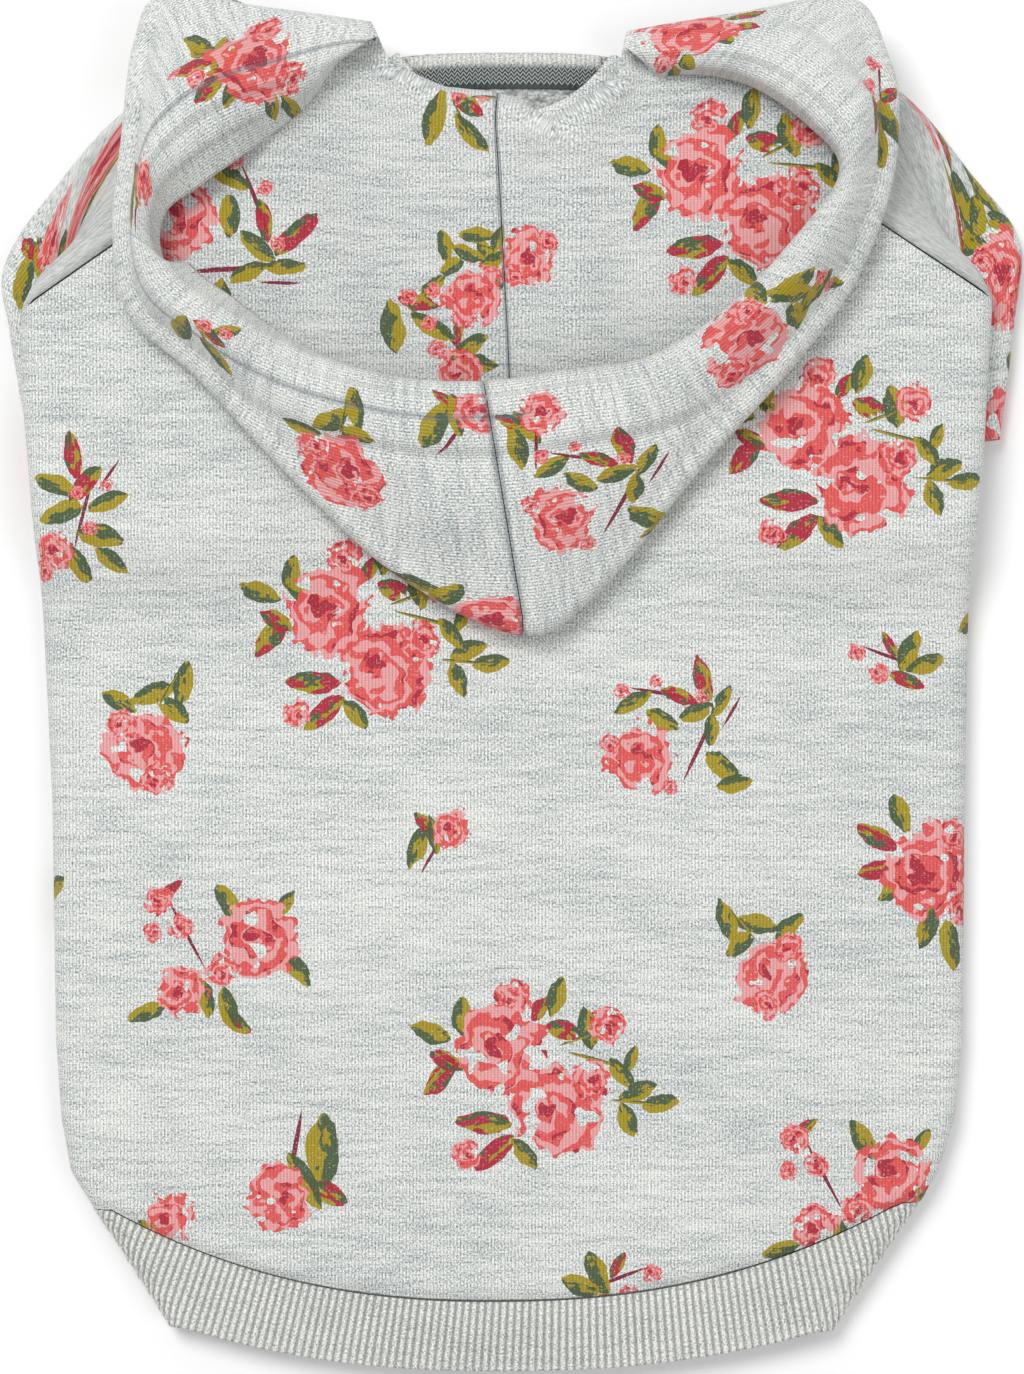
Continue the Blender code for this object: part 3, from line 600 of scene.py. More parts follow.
def rose_inks():
    tree, at, out = group("rose_inks", INK_AND_COLOUR)
    seeded = vector(tree, "MULTIPLY", at, (1, 1, 7))
    shift = vector(tree, "SUBTRACT", noise(tree, seeded, 1.7, 2, 1), (0.5, 0.5, 0.5))
    flat = vector(tree, "MULTIPLY", at, (1, 1, 0))
    bent = vector(tree, "MULTIPLY_ADD", shift, (0.9, 0.9, 0), flat)
    fray = calc(tree, "MULTIPLY_ADD", noise(tree, seeded, 4.2, 2), 0.5, -0.25)
    radius = calc(tree, "ADD", vector_length(tree, bent), fray)
    inside = calc(tree, "LESS_THAN", radius, 0.97)
    heart = vector(tree, "ADD", bent, (0.16, -0.06, 0))
    heart_x, heart_y, _ = split(tree, heart)
    away = vector_length(tree, heart)
    turn = calc(tree, "DIVIDE", calc(tree, "ARCTAN2", heart_y, heart_x), 6.2832)
    seed = split(tree, at)[2]
    whirl = calc(tree, "FRACT", calc(tree, "ADD", calc(tree, "MULTIPLY_ADD", away, 2.5, turn), seed))
    patches = calc(tree, "MULTIPLY_ADD", noise(tree, seeded, 2.6, 1), 2.6, -1.3)
    depth = calc(tree, "ADD", whirl, patches)
    coral = calc(tree, "GREATER_THAN", depth, 0.42)
    core = calc(tree, "LESS_THAN", calc(tree, "ADD", away, fray), 0.20)
    crimson = calc(tree, "MAXIMUM", calc(tree, "GREATER_THAN", depth, 1.08), core)
    colour = blend(tree, crimson, blend(tree, coral, LIGHT_PINK, CORAL), CRIMSON)
    open_petal = calc(tree, "LESS_THAN", noise(tree, vector(tree, "ADD", seeded, (5, 3, 1)), 1.9, 1), 0.62)
    ring = calc(tree, "MAXIMUM", open_petal, calc(tree, "LESS_THAN", away, 0.34))
    tree.links.new(calc(tree, "MULTIPLY", inside, ring), out.inputs[0])
    tree.links.new(colour, out.inputs[1])
    return tree


def leaf_inks():
    tree, at, out = group("leaf_inks", INK_AND_COLOUR)
    seeded = vector(tree, "MULTIPLY", at, (1, 1, 5))
    shift = vector(tree, "SUBTRACT", noise(tree, seeded, 1.3, 2, 1), (0.5, 0.5, 0.5))
    bent = vector(tree, "MULTIPLY_ADD", shift, (0.45, 0.7, 0), at)
    along, across, _ = split(tree, bent)
    room = calc(tree, "MAXIMUM", calc(tree, "SUBTRACT", 1.0, calc(tree, "MULTIPLY", along, along)), 0.0)
    edge = calc(tree, "POWER", room, 0.75)
    inside = calc(tree, "LESS_THAN", calc(tree, "ABSOLUTE", across), edge)
    kind = calc(tree, "FRACT", split(tree, at)[2])
    mottle = calc(tree, "MULTIPLY_ADD", noise(tree, seeded, 1.9, 2), 3.0, -1.5)
    dark = calc(tree, "GREATER_THAN", calc(tree, "ADD", across, mottle), 0.02)
    green = blend(tree, dark, OLIVE, DARK_GREEN)
    blotch = calc(tree, "GREATER_THAN", noise(tree, vector(tree, "ADD", seeded, (3, 7, 2)), 1.4, 1), 0.49)
    red = calc(tree, "MULTIPLY", calc(tree, "GREATER_THAN", kind, 0.5), blotch)
    stem = calc(tree, "COMPARE", kind, 0.3, 0.08)
    tree.links.new(inside, out.inputs[0])
    tree.links.new(blend(tree, stem, blend(tree, red, green, CRIMSON), MAROON), out.inputs[1])
    return tree


ROSE_INKS, LEAF_INKS = rose_inks(), leaf_inks()
print("inks:", ROSE_INKS.name, LEAF_INKS.name)

# %% [markdown]
# The knit itself: each wale is a column of V-shaped stitches. Its height is the product of the wale's round
# profile and of slanting legs. It darkens the yarn in its low places as painted shade, and lifts it through a
# Bump node.

# %% The heather knit
WALE, COURSE = 0.00085, 0.00062
DARK_YARN = 0.32  # the share of dark fibres in the mix


def knit_height(tree, uv):
    across, along, _ = split(tree, uv)
    wale = calc(tree, "FRACT", calc(tree, "DIVIDE", across, WALE))
    from_middle = calc(tree, "ABSOLUTE", calc(tree, "SUBTRACT", wale, 0.5))
    profile = calc(tree, "SINE", calc(tree, "MULTIPLY", wale, math.pi))
    slant = calc(tree, "MULTIPLY_ADD", from_middle, 0.9, calc(tree, "DIVIDE", along, COURSE))
    waves = calc(tree, "SINE", calc(tree, "MULTIPLY", slant, 2 * math.pi))
    return calc(tree, "MULTIPLY", profile, calc(tree, "MULTIPLY_ADD", waves, 0.25, 0.75))


def heather(tree, uv, light, dark, streaks=1.0):
    """The mixed yarn: flecks of single fibres, streaks along the courses and slow clouds."""
    fleck, streak = grain(tree, uv, 2300, 1900, 1), grain(tree, uv, 75, 620, 3)
    cloud = grain(tree, uv, 14, 40)
    share = calc(tree, "MULTIPLY_ADD", fleck, 2.9, -1.45 + DARK_YARN)
    share = calc(tree, "ADD", share, calc(tree, "MULTIPLY_ADD", streak, streaks, -0.5 * streaks))
    share = calc(tree, "ADD", share, calc(tree, "MULTIPLY_ADD", cloud, 0.5, -0.25))
    clamp = put(tree, "ShaderNodeClamp", (share,)).outputs[0]
    return blend(tree, clamp, light, dark)


def new_material(name):
    made = bpy.data.materials.new(name)
    made.use_nodes = True
    shader = made.node_tree.nodes["Principled BSDF"]
    shader.inputs["Roughness"].default_value = 0.88
    shader.inputs["Specular IOR Level"].default_value = 0.25
    shader.inputs["Sheen Weight"].default_value = 0.12
    shader.inputs["Sheen Roughness"].default_value = 0.5
    return made, made.node_tree, shader


# A seam or a stitch line is a soft dip over so many millimetres, which is so much darker (painted shade in the
# dip) and so much deeper
SEAM_DIP, SEAM_SHADE, SEAM_DEPTH = 1.2, 0.5, 2.4


def printed_knit(name, map_name, prefix, light, dark, seam_marks=()):
    made, tree, shader = new_material(name)
    uv = put(tree, "ShaderNodeUVMap", uv_map=map_name).outputs[0]
    colour = heather(tree, uv, light, dark)
    height = knit_height(tree, uv)
    worn = calc(tree, "GREATER_THAN", grain(tree, uv, 1500, 1900), 0.37)
    inked = calc(tree, "MULTIPLY_ADD", worn, 0.35, 0.63)
    for kind, count, inks in (("leaf", LEAF_LAYERS, LEAF_INKS), ("rose", ROSE_LAYERS, ROSE_INKS)):
        for number in range(count):
            drawn = put(tree, "ShaderNodeGroup", node_tree=inks)
            tree.links.new(stored(tree, f"{prefix}_{kind}_{number}", "Vector"), drawn.inputs[0])
            colour = blend(tree, calc(tree, "MULTIPLY", inked, drawn.outputs[0]), colour, drawn.outputs[1])
    # The low places between the stitches are darkened: painted shade.
    colour = shaded(tree, colour, calc(tree, "MULTIPLY_ADD", height, 0.42, 0.66))
    for seam_mark in seam_marks:
        limits = (stored(tree, seam_mark), 0.1, SEAM_DIP, 1.0, 0.0)
        dip = put(tree, "ShaderNodeMapRange", limits, interpolation_type="SMOOTHSTEP").outputs[0]
        # The dip is darkened towards blue-grey: painted shade.
        colour = blend(tree, calc(tree, "MULTIPLY", dip, SEAM_SHADE), colour, paint(0.36, 0.41, 0.45))
        height = calc(tree, "MULTIPLY_ADD", dip, -SEAM_DEPTH, height)
    tree.links.new(colour, shader.inputs["Base Color"])
    fuzz = calc(tree, "MULTIPLY_ADD", grain(tree, uv, 2200, 2200), 0.5, height)
    relief(tree, shader, fuzz, 0.55, 0.00028)
    return made


YARN_LIGHT, YARN_DARK = paint(0.963, 0.964, 0.942), paint(0.53, 0.59, 0.61)
body_knit = printed_knit("printed_heather_knit", "cloth", "out", YARN_LIGHT, YARN_DARK)
hood_knit = printed_knit("hood_heather_knit", "cloth", "out", YARN_LIGHT, YARN_DARK,
                         ("stitch_away", "seam_away"))
# The lining's yarn is painted a touch darker than the outer cloth's: painted shade for the hollow under the
# rim.
LINING_LIGHT_WITH_PAINTED_SHADE, LINING_DARK_WITH_PAINTED_SHADE = paint(0.930, 0.934, 0.917), paint(0.50, 0.56, 0.58)
lining_knit = printed_knit("hood_lining_knit", "lining", "in", LINING_LIGHT_WITH_PAINTED_SHADE, LINING_DARK_WITH_PAINTED_SHADE, ("seam_away",))

# %% [markdown]
# The wrong side of a sweatshirt knit is a terry of small loops, and the hem is a plain rib knit, a little
# greyer than the body. Both need no print, so their materials are shorter.

# %% Terry, rib and thread


def terry_cloth():
    made, tree, shader = new_material("terry_wrong_side")
    uv = put(tree, "ShaderNodeUVMap", uv_map="cloth").outputs[0]
    cells = vector(tree, "MULTIPLY", uv, (750, 1050, 1))
    loops = put(tree, "ShaderNodeTexVoronoi", (cells, None, 1.0)).outputs[0]
    colour = heather(tree, uv, paint(0.965, 0.965, 0.95), paint(0.66, 0.70, 0.71))
    # Lighter on the loops' tops and darker between them: painted light and painted shade.
    colour = shaded(tree, colour, calc(tree, "SUBTRACT", 1.1, calc(tree, "MULTIPLY", loops, 0.85)))
    tree.links.new(colour, shader.inputs["Base Color"])
    relief(tree, shader, calc(tree, "SUBTRACT", 1.0, loops), 0.9, 0.0005)
    return made


# A groove is stored as 0 to 1 and darkens the rib's valleys: painted shade.
# At the neck a higher mark makes the painted shade under the stitches darker still.
SHADE_UNDER_STITCHES, DEEPER_SHADE_FROM = 1.6, 1.2


def rib_knit():
    made, tree, shader = new_material("heather_rib_knit")
    uv = put(tree, "ShaderNodeUVMap", uv_map="cloth").outputs[0]
    colour = heather(tree, uv, paint(0.925, 0.918, 0.890), paint(0.53, 0.56, 0.56), 0.5)
    deep = stored(tree, "groove")
    deeper_shade_under_stitches = calc(tree, "GREATER_THAN", deep, DEEPER_SHADE_FROM)
    # The colours of the painted shade in the valleys and, darker, under the stitches.
    painted_groove_shade = blend(tree, deeper_shade_under_stitches, paint(0.46, 0.50, 0.50), paint(0.33, 0.36, 0.36))
    share = calc(tree, "MINIMUM", calc(tree, "MULTIPLY", deep, 0.75), 1.0)
    tree.links.new(blend(tree, share, colour, painted_groove_shade), shader.inputs["Base Color"])
    relief(tree, shader, grain(tree, uv, 1500, 1900), 0.5, 0.00025)
    return made


def thread(name, colour):
    made, tree, shader = new_material(name)
    speck = noise(tree, put(tree, "ShaderNodeTexCoord").outputs["Object"], 3000.0, 2)
    speck = calc(tree, "MULTIPLY", speck, 0.3)
    tree.links.new(blend(tree, speck, colour, paint(0.93, 0.93, 0.92)), shader.inputs["Base Color"])
    return made


terry, rib = terry_cloth(), rib_knit()
grey_thread = thread("grey_cover_thread", paint(0.66, 0.68, 0.67))

# %% [markdown]
# ## The body
# A flattened tube: the back wraps round both side folds to a seam on the underside. A station is one place
# round the tube. The rows run from the hem seam to the neck, closer together at the seam, where the edge of
# the cloth rolls down.

# %% Stations round the tube
FINE = 0.0016


def station_row(parts):
    return np.array([station for part in parts for station in part], float)


def flat_part(start, end, height, step=FINE):
    return [(share, 0.0, height) for share in even(start, end, step / (2 * HALF_CHEST))]


def fold_part(side, upwards, steps=12):
    turn = np.linspace(-math.pi / 2, math.pi / 2, steps)[1:-1] * (1 if upwards else -1)
    return [(side, math.cos(a) * (1 if side else -1), (1 + math.sin(a)) / 2) for a in turn]


def rows_with_soft_ends(length, step=FINE):
    """Shares from 0 to 1, closer together at both ends."""
    ends = np.array([0, 0.0004, 0.0008, 0.0013, 0.0020]) / length
    return np.concatenate([ends, even(ends[-1], 1 - ends[-1], step / length)[1:-1], 1 - ends[::-1]])


def ripple(x, y, seed, reach, height):
    """Slow uneven ripples: a few crossing waves of cloth."""
    pick = np.random.default_rng(seed)
    total = np.zeros_like(x)
    for _ in range(7):
        turn, phase = pick.uniform(0, math.pi), pick.uniform(0, 2 * math.pi)
        wave = 2 * math.pi / (reach * pick.uniform(0.6, 1.6))
        total += np.sin((x * math.cos(turn) + y * math.sin(turn)) * wave + phase)
    return total * height / 7


# The edge of the cloth rolls down into a seam over this width, by so much at the hem and at the top
ROLL_WIDTH, HEM_ROLL, TOP_ROLL = 0.0013, 0.0011, 0.0009


def body_places(stations, reach, front):
    share, push, height = (stations[:, k, None] for k in range(3))
    bottom = hem_seam_y(share, height)
    top_left, top_right = side_places(HALF_LENGTH)
    radius = BODY_LOFT / 2
    top_x = mix(top_left + radius, top_right - radius, share) + push * radius
    y = mix(bottom, upper_edge_y(top_x, front), reach)
    left, right = side_places(y)
    loft = body_loft(y)
    x = mix(left + loft / 2, right - loft / 2, share) + push * loft / 2
    z = lift(x, y) + height * loft
    on_top = smooth(height, 0.6, 1.0)
    from_seam, from_top = y - bottom, upper_edge_y(top_x, front) - y
    z = z + on_top * ripple(x, y, 4, 0.07, 0.0011) * smooth(arch(share, 2), 0.0, 0.35)
    z = z - on_top * (HEM_ROLL * bump(from_seam, 0, ROLL_WIDTH) + TOP_ROLL * bump(from_top, 0, ROLL_WIDTH))
    z = z + on_top * 0.0004 * bump(from_seam, 0.0036, 0.0018)
    return np.stack([x, y, np.maximum(z, 0.0)], 2)


# %% The back
back_stations = station_row([
    flat_part(SIDE_SEAM_SHARE, 0, 0), fold_part(0, True), flat_part(0, 1, 1), fold_part(1, False),
    flat_part(1, 1 - SIDE_SEAM_SHARE, 0),
])
back_places = body_places(back_stations, rows_with_soft_ends(0.30), False)
around = girth(back_places * (1, 0, 1))
top_row = np.flatnonzero(back_stations[:, 2] == 1)
middle_column = top_row[np.argmin(np.abs(back_stations[top_row, 0] - 0.5))]
across_cloth = around - around[middle_column] + back_places[middle_column, :, 0]
back_map = np.stack([across_cloth, back_places[:, :, 1]], 2)
back_cloth = cloth("back_cloth", back_places, {"cloth": back_map}, BODY_WALL, ["back_panel"])


def photo(px, py):
    """A place on the garment, measured in the units of a 1024 by 1374 picture of it."""
    return (px - 511.5) * 0.00025, (687 - py) * 0.00025


BACK_PRINT = [
    ("bouquet", *photo(360, 632), 0, 1.0, 1), ("single", *photo(145, 742), 0, 1.0, 1),
    ("sprig", *photo(72, 525), 0, 1.05, 1), ("berries", *photo(672, 733), 0, 1.0, 1),
    ("twig", *photo(895, 662), 0, 1.0, 1), ("bud", *photo(440, 837), 0, 1.0, 1),
    ("cluster", *photo(215, 952), 0, 1.0, 1), ("single", *photo(772, 968), 10, 0.95, -1),
    ("bouquet", *photo(530, 1072), 0, 1.0, 1), ("rose", *photo(930, 872), 0, 1.0, 1),
    ("bud", *photo(292, 1180), 200, 1.7, 1), ("cluster", *photo(850, 1190), 0, 1.0, 1),
    ("bud", *photo(165, 1234), 40, 1.3, 1), ("twig", *photo(612, 1284), 0, 1.05, -1),
    ("bouquet", *photo(835, 452), 0, 1.0, 1), ("bouquet", -0.148, -0.060, 30, 1.0, 1),
    ("bouquet", 0.150, 0.020, 200, 1.0, 1), ("cluster", -0.146, 0.050, 0, 1.0, 1),
    ("berries", 0.146, -0.100, 90, 1.0, 1),
]
print_on(back_cloth, "cloth", "out", BACK_PRINT)
finish_sheet(back_cloth, body_knit, terry)

# %% The belly
belly_edge = SIDE_SEAM_SHARE + SEAM_GAP / (2 * HALF_CHEST)
belly_stations = station_row([flat_part(belly_edge, 1 - belly_edge, 0, 0.0022)])
belly_places = body_places(belly_stations, rows_with_soft_ends(0.24, 0.0022), True)
# Its own stretch of the knit and of the print lies half a metre beside the back's
belly_map = np.stack([belly_places[:, :, 0] + 0.5, belly_places[:, :, 1]], 2)
belly_cloth = cloth("belly_cloth", belly_places, {"cloth": belly_map}, BODY_WALL, ["belly_panel"],
                    flip=True)
BELLY_PRINT = [
    ("bouquet", 0.47, 0.10, 20, 1.0, 1), ("cluster", 0.53, 0.06, 80, 1.0, -1),
    ("single", 0.46, 0.03, 0, 1.0, 1), ("bouquet", 0.52, -0.02, 190, 1.0, 1),
    ("berries", 0.46, -0.05, 10, 1.0, 1), ("twig", 0.55, 0.13, 0, 1.0, 1),
]
print_on(belly_cloth, "cloth", "out", BELLY_PRINT)
finish_sheet(belly_cloth, body_knit, terry)

# %% [markdown]
# ## The ribbed hem
# A rib knit is real relief, so the ribs are modelled: the band is one closed ring, and a wave with the rib's
# pitch pulls it inwards round the girth. On the back the ribs leave the seam squarely and wrap round the side
# folds. The free edge is shorter than the seam, and the ribs take that up on the belly side.

# %% The rib band
RIB_PITCH, RIB_RELIEF, RIB_STEP = 0.0019, 0.00075, 0.00026


def rib_places(stations, depth):
    share, push, height = (stations[:, k, None] for k in range(3))
    seam = body_places(stations, np.array([0.0]), False)
    seam[:, :, 2:] = height[:, :, None] * body_loft(seam[:, :, 1:2])
    radius = HEM_LOFT / 2
    free_x = mix(HEM_LEFT[2] * HALF_CHEST + radius, HEM_RIGHT[2] * HALF_CHEST - radius, share) + push * radius
    corner = mix(HEM_LEFT[3], HEM_RIGHT[3], share) * HALF_LENGTH
    back = mix(corner, hem_seam_y(0.5, 1) - SEAM_GAP - RIB_DEPTH, arch(share, BACK_HEM_POWER))
    belly = mix(corner, hem_seam_y(0.5, 0) - SEAM_GAP - RIB_DEPTH, arch(share, BELLY_HEM_POWER))
    free_y = mix(belly, back, height)
    gap = RIB_SEAM_GAP / np.hypot(free_x - seam[:, :, 0], free_y - seam[:, :, 1])
    reach = mix(gap, 1, depth)
    x, y = mix(seam[:, :, 0], free_x, reach), mix(seam[:, :, 1], free_y, reach)
    z = mix(seam[:, :, 2], height * HEM_LOFT, reach)
    z = z - smooth(height, 0.6, 1) * TOP_ROLL * bump(depth * RIB_DEPTH, 0, 0.0022)
    return np.stack([x, y, z], 2)


RIB_FAN = 0.06  # on the back the ribs spread by this share from the seam to the free edge


def slide_round(band, depths, top, bottom, start_below):
    """Slides each row's points round the ring. At the seam they stay. Between two stations, top and bottom,
    the way round is kept on the back, and what the row is shorter comes off beyond the share start_below."""
    ring = np.concatenate([band, band, band[:1]])
    arc = girth(ring)
    count, seam = len(band), len(depths) - 1
    moved = band.copy()
    for first, last in ((top, bottom), (bottom, top + count)):
        columns = np.arange(first, last + 1)
        from_top = columns if first == top else columns[::-1]
        seam_way = np.abs(arc[from_top, seam] - arc[from_top[0], seam])
        for j, depth in enumerate(depths):
            way = seam_way * (1 + RIB_FAN * depth)
            whole = abs(arc[last, j] - arc[first, j])
            way -= (way[-1] - whole) * smooth(seam_way / seam_way[-1], start_below, 1.0)
            at = arc[from_top[0], j] + way * (1 if first == top else -1)
            for axis in range(3):
                moved[from_top % count, j, axis] = np.interp(at, arc[:, j], ring[:, j, axis])
    return moved


rib_stations = station_row([
    fold_part(0, True, 44), flat_part(0, 1, 1, RIB_STEP),
    fold_part(1, False, 44), flat_part(1, 0, 0, RIB_STEP),
])
depths = 1 - np.array([0, 0.03, 0.07, 0.14, 0.28, 0.42, 0.56, 0.70, 0.84, 0.92, 0.97, 1.0])
band = rib_places(rib_stations, depths)
middles = [np.argmin(np.abs(rib_stations[:, 0] - 0.5) + np.abs(rib_stations[:, 2] - up)) for up in (1, 0)]
band = slide_round(band, depths, *middles, 0.5)
round_girth = girth(band)[:, len(depths) // 2]
full_girth = round_girth[-1] + np.linalg.norm(band[0, len(depths) // 2] - band[-1, len(depths) // 2])
ribs = round(full_girth / RIB_PITCH)
wave = 0.5 - 0.5 * np.cos(2 * math.pi * ribs * round_girth / full_girth)
# The same wave is stored as the groove mark, and the material darkens the valleys by it: painted shade.
groove = (wave**2.6)[:, None] * np.ones(len(depths))
at_edge = 1 - 0.55 * bump((1 - depths) * RIB_DEPTH, 0, 0.0012)
band = band - facing_out(band, True) * (groove * at_edge * RIB_RELIEF)[:, :, None]
rib_map = np.stack([
    np.concatenate([round_girth, [full_girth]])[:, None] * np.ones(len(depths)),
    np.ones((len(round_girth) + 1, 1)) * (1 - depths) * RIB_DEPTH,
], 2)
hem_band = cloth("hem_band", band, {"cloth": rib_map}, RIB_SKIN, ["hem_rib"], closed=True,
                 marks={"groove": groove})
finish_sheet(hem_band, rib, rib)
print(ribs, "ribs round the hem")

# %% [markdown]
# ## The sleeves
# Short raglan sleeves, flattened tubes that go round the shoulder fold and are tucked under the body. Their
# sections follow two lines: an inner fold, which slips under the body, and an outer fold. Their wall is a
# little thinner than the body's, because the folds are tight.

# %% Sleeves
# The way down a sleeve, and how deep and how wide its edge rolls at the raglan seam
SLEEVE_WAY, SLEEVE_ROLL, SLEEVE_ROLL_WIDTH = 0.110, 0.0010, 0.0016


def sleeve_places(rows, shares, stations):
    inner, outer = table_at(rows, shares, False), table_at(rows, shares)
    share, push, height = (stations[:, k, None] for k in range(3))
    inner_x, inner_y = inner[:, 0] * HALF_CHEST, inner[:, 1] * HALF_LENGTH
    outer_x, outer_y = outer[:, 2] * HALF_CHEST, outer[:, 3] * HALF_LENGTH
    width = np.hypot(outer_x - inner_x, outer_y - inner_y)
    out_x, out_y = (outer_y - inner_y) / width * np.sign(inner_x), np.abs(outer_x - inner_x) / width
    loft = mix(mix(SLEEVE_LOFT, BODY_LOFT, inner[:, 4]), mix(SLEEVE_LOFT, BODY_LOFT, inner[:, 5]), share)
    reach = (mix(loft / 2, width - loft / 2, share) + push * loft / 2) / width
    x = mix(inner_x, outer_x, reach) + out_x * RAGLAN_GAP
    y = mix(inner_y, outer_y, reach) + out_y * RAGLAN_GAP
    own = SLEEVE_LIFT * inner[:, 4] * (1 - share) + height * loft
    at_seam = lift(x, y) + height * BODY_LOFT
    z = mix(at_seam, own, smooth(shares * (len(rows) - 1), 0.25, 1.0))
    from_seam, on_top = shares * SLEEVE_WAY, smooth(height, 0.6, 1)
    z = z - on_top * SLEEVE_ROLL * bump(from_seam, 0, SLEEVE_ROLL_WIDTH)
    z = z + on_top * ripple(x, y, 9, 0.03, 0.0009) * smooth(from_seam, 0.002, 0.012)
    return np.stack([x, y, z], 2)


SLEEVE_PRINT_LEFT = [("rose", *photo(105, 162), 20, 0.85, 1), ("bud", *photo(45, 262), 0, 1.0, 1)]
SLEEVE_PRINT_RIGHT = [("single", *photo(1004, 262), 20, 0.8, 1), ("twig", *photo(948, 165), 0, 0.9, 1)]
TUCKED_PRINT = [("bouquet", 0.03, 0.085, 20, 0.9, 1), ("cluster", 0.115, 0.090, 200, 1.0, 1)]
sleeve_stations = station_row([
    flat_part(0, 1, 0, 0.0045), fold_part(1, True, 12), flat_part(1, 0, 1, 0.0045), fold_part(0, False, 12),
])
sleeve_shares = np.concatenate([[0, 0.005, 0.011, 0.018, 0.027], even(0.035, 1, 0.013)])
# Each sleeve's stretch of the knit lies 0.6 m beside the back's
for name, rows, node_name, flip, beside, placed in (
    ("left_sleeve_cloth", SLEEVE_LEFT, "sleeve_left", True, -0.6, SLEEVE_PRINT_LEFT),
    ("right_sleeve_cloth", SLEEVE_RIGHT, "sleeve_right", False, 0.6, SLEEVE_PRINT_RIGHT),
):
    places = sleeve_places(rows, sleeve_shares, sleeve_stations)
    round_sleeve = girth(places)
    round_sleeve = np.concatenate([round_sleeve, round_sleeve[-1:] + 0.001])
    # One mean way down serves all stations. But the rows fan out and lean, so the print is drawn out.
    round_way = np.gradient(places, axis=0)
    round_way = (round_way / np.linalg.norm(round_way, axis=2, keepdims=True))[:, 1:]
    steps = np.diff(places, axis=1)
    steps = steps - round_way * (steps * round_way).sum(2, keepdims=True)
    down_sleeve = np.concatenate([[0], np.cumsum(np.linalg.norm(steps, axis=2).mean(0))])
    sleeve_map = np.stack([round_sleeve + beside, np.ones_like(round_sleeve) * down_sleeve], 2)
    piece = cloth(name, places, {"cloth": sleeve_map}, SLEEVE_WALL, [node_name],
                  flip=flip, closed=True)
    seen = (sleeve_stations[:, 2:] == 1) & (sleeve_shares[None, :] > 0)
    tucked = [(motif, u + beside, *rest) for motif, u, *rest in TUCKED_PRINT]
    print_on(piece, "cloth", "out", pinned(places, sleeve_map, seen, placed) + tucked)
    finish_sheet(piece, body_knit, terry)

# %% [markdown]
# ## The hood
# The hood is two layers of cloth, sewn round its opening to a wide soft rim, and folded down on the back so
# that it gapes. Each column of its grid starts at the neck seam, runs under the hood to the outer fold, turns
# over it, climbs to the rim's crest and turns down inside as the facing. Solidify's inner side is the lining.

# %% Columns of the hood
# The neck seam as it is seen, with the notch beside the middle: x and y in millimetres
NECK_LINE = np.array([
    (-40, 157), (-28.6, 154.8), (-20.4, 151.2), (-16.9, 149.9), (-10, 149.2), (-4.9, 148.8),
    (0.9, 147.0), (4.4, 144.6), (6.2, 142.9), (7.6, 141.9), (9.0, 141.5), (10.4, 141.9),
    (12.0, 142.9), (14.4, 144.5), (18.6, 147.0), (24.6, 150.4), (30.4, 153.2), (42, 156.8),
]) / 1000
RIM_BAND, BAND_EDGE, STITCH_LINE, CROWN_NECK_X = 0.0145, 0.0016, 0.0052, -0.0042
STITCHES_FADE = (0.52, 0.56)  # the stitch line shows on the left and sinks into the soft rim past the crown
ROUND_THE_NECK = HOOD_WALL * math.pi / 2
# The points of a column: the turned edge at the neck, floor, outer fold, top, and the rim's roll and facing
EDGE_DOWN = (1.0, 0.55, 0.2)
FLOOR_ROWS, FOLD_ROWS, TOP_ROWS, ROLL_ROWS, FACING_ROWS = 58, 9, 40, 7, 7
TOP_FROM = len(EDGE_DOWN) + FLOOR_ROWS + FOLD_ROWS
CREST = TOP_FROM + TOP_ROWS - 1
ROLL_END = CREST + ROLL_ROWS


def hood_ridges(x, y):
    """The soft fold below the neck's notch, and the dents beside it."""
    down = 0.140 - y
    line = 0.0086 + 0.04 * down
    fade = smooth(down, -0.002, 0.006) * (1 - smooth(down, 0.045, 0.075))
    fold = (0.0015 * bump(x, line + 0.0055, 0.0070) - 0.0008 * bump(x, line - 0.0030, 0.0055)) * fade
    left = 0.0016 * bump(x + 0.42 * (y - 0.10), -0.046, 0.009) * smooth(y, 0.07, 0.10)
    return fold + left + 0.0012 * bump(x, 0.045, 0.02) * bump(y, 0.10, 0.03)


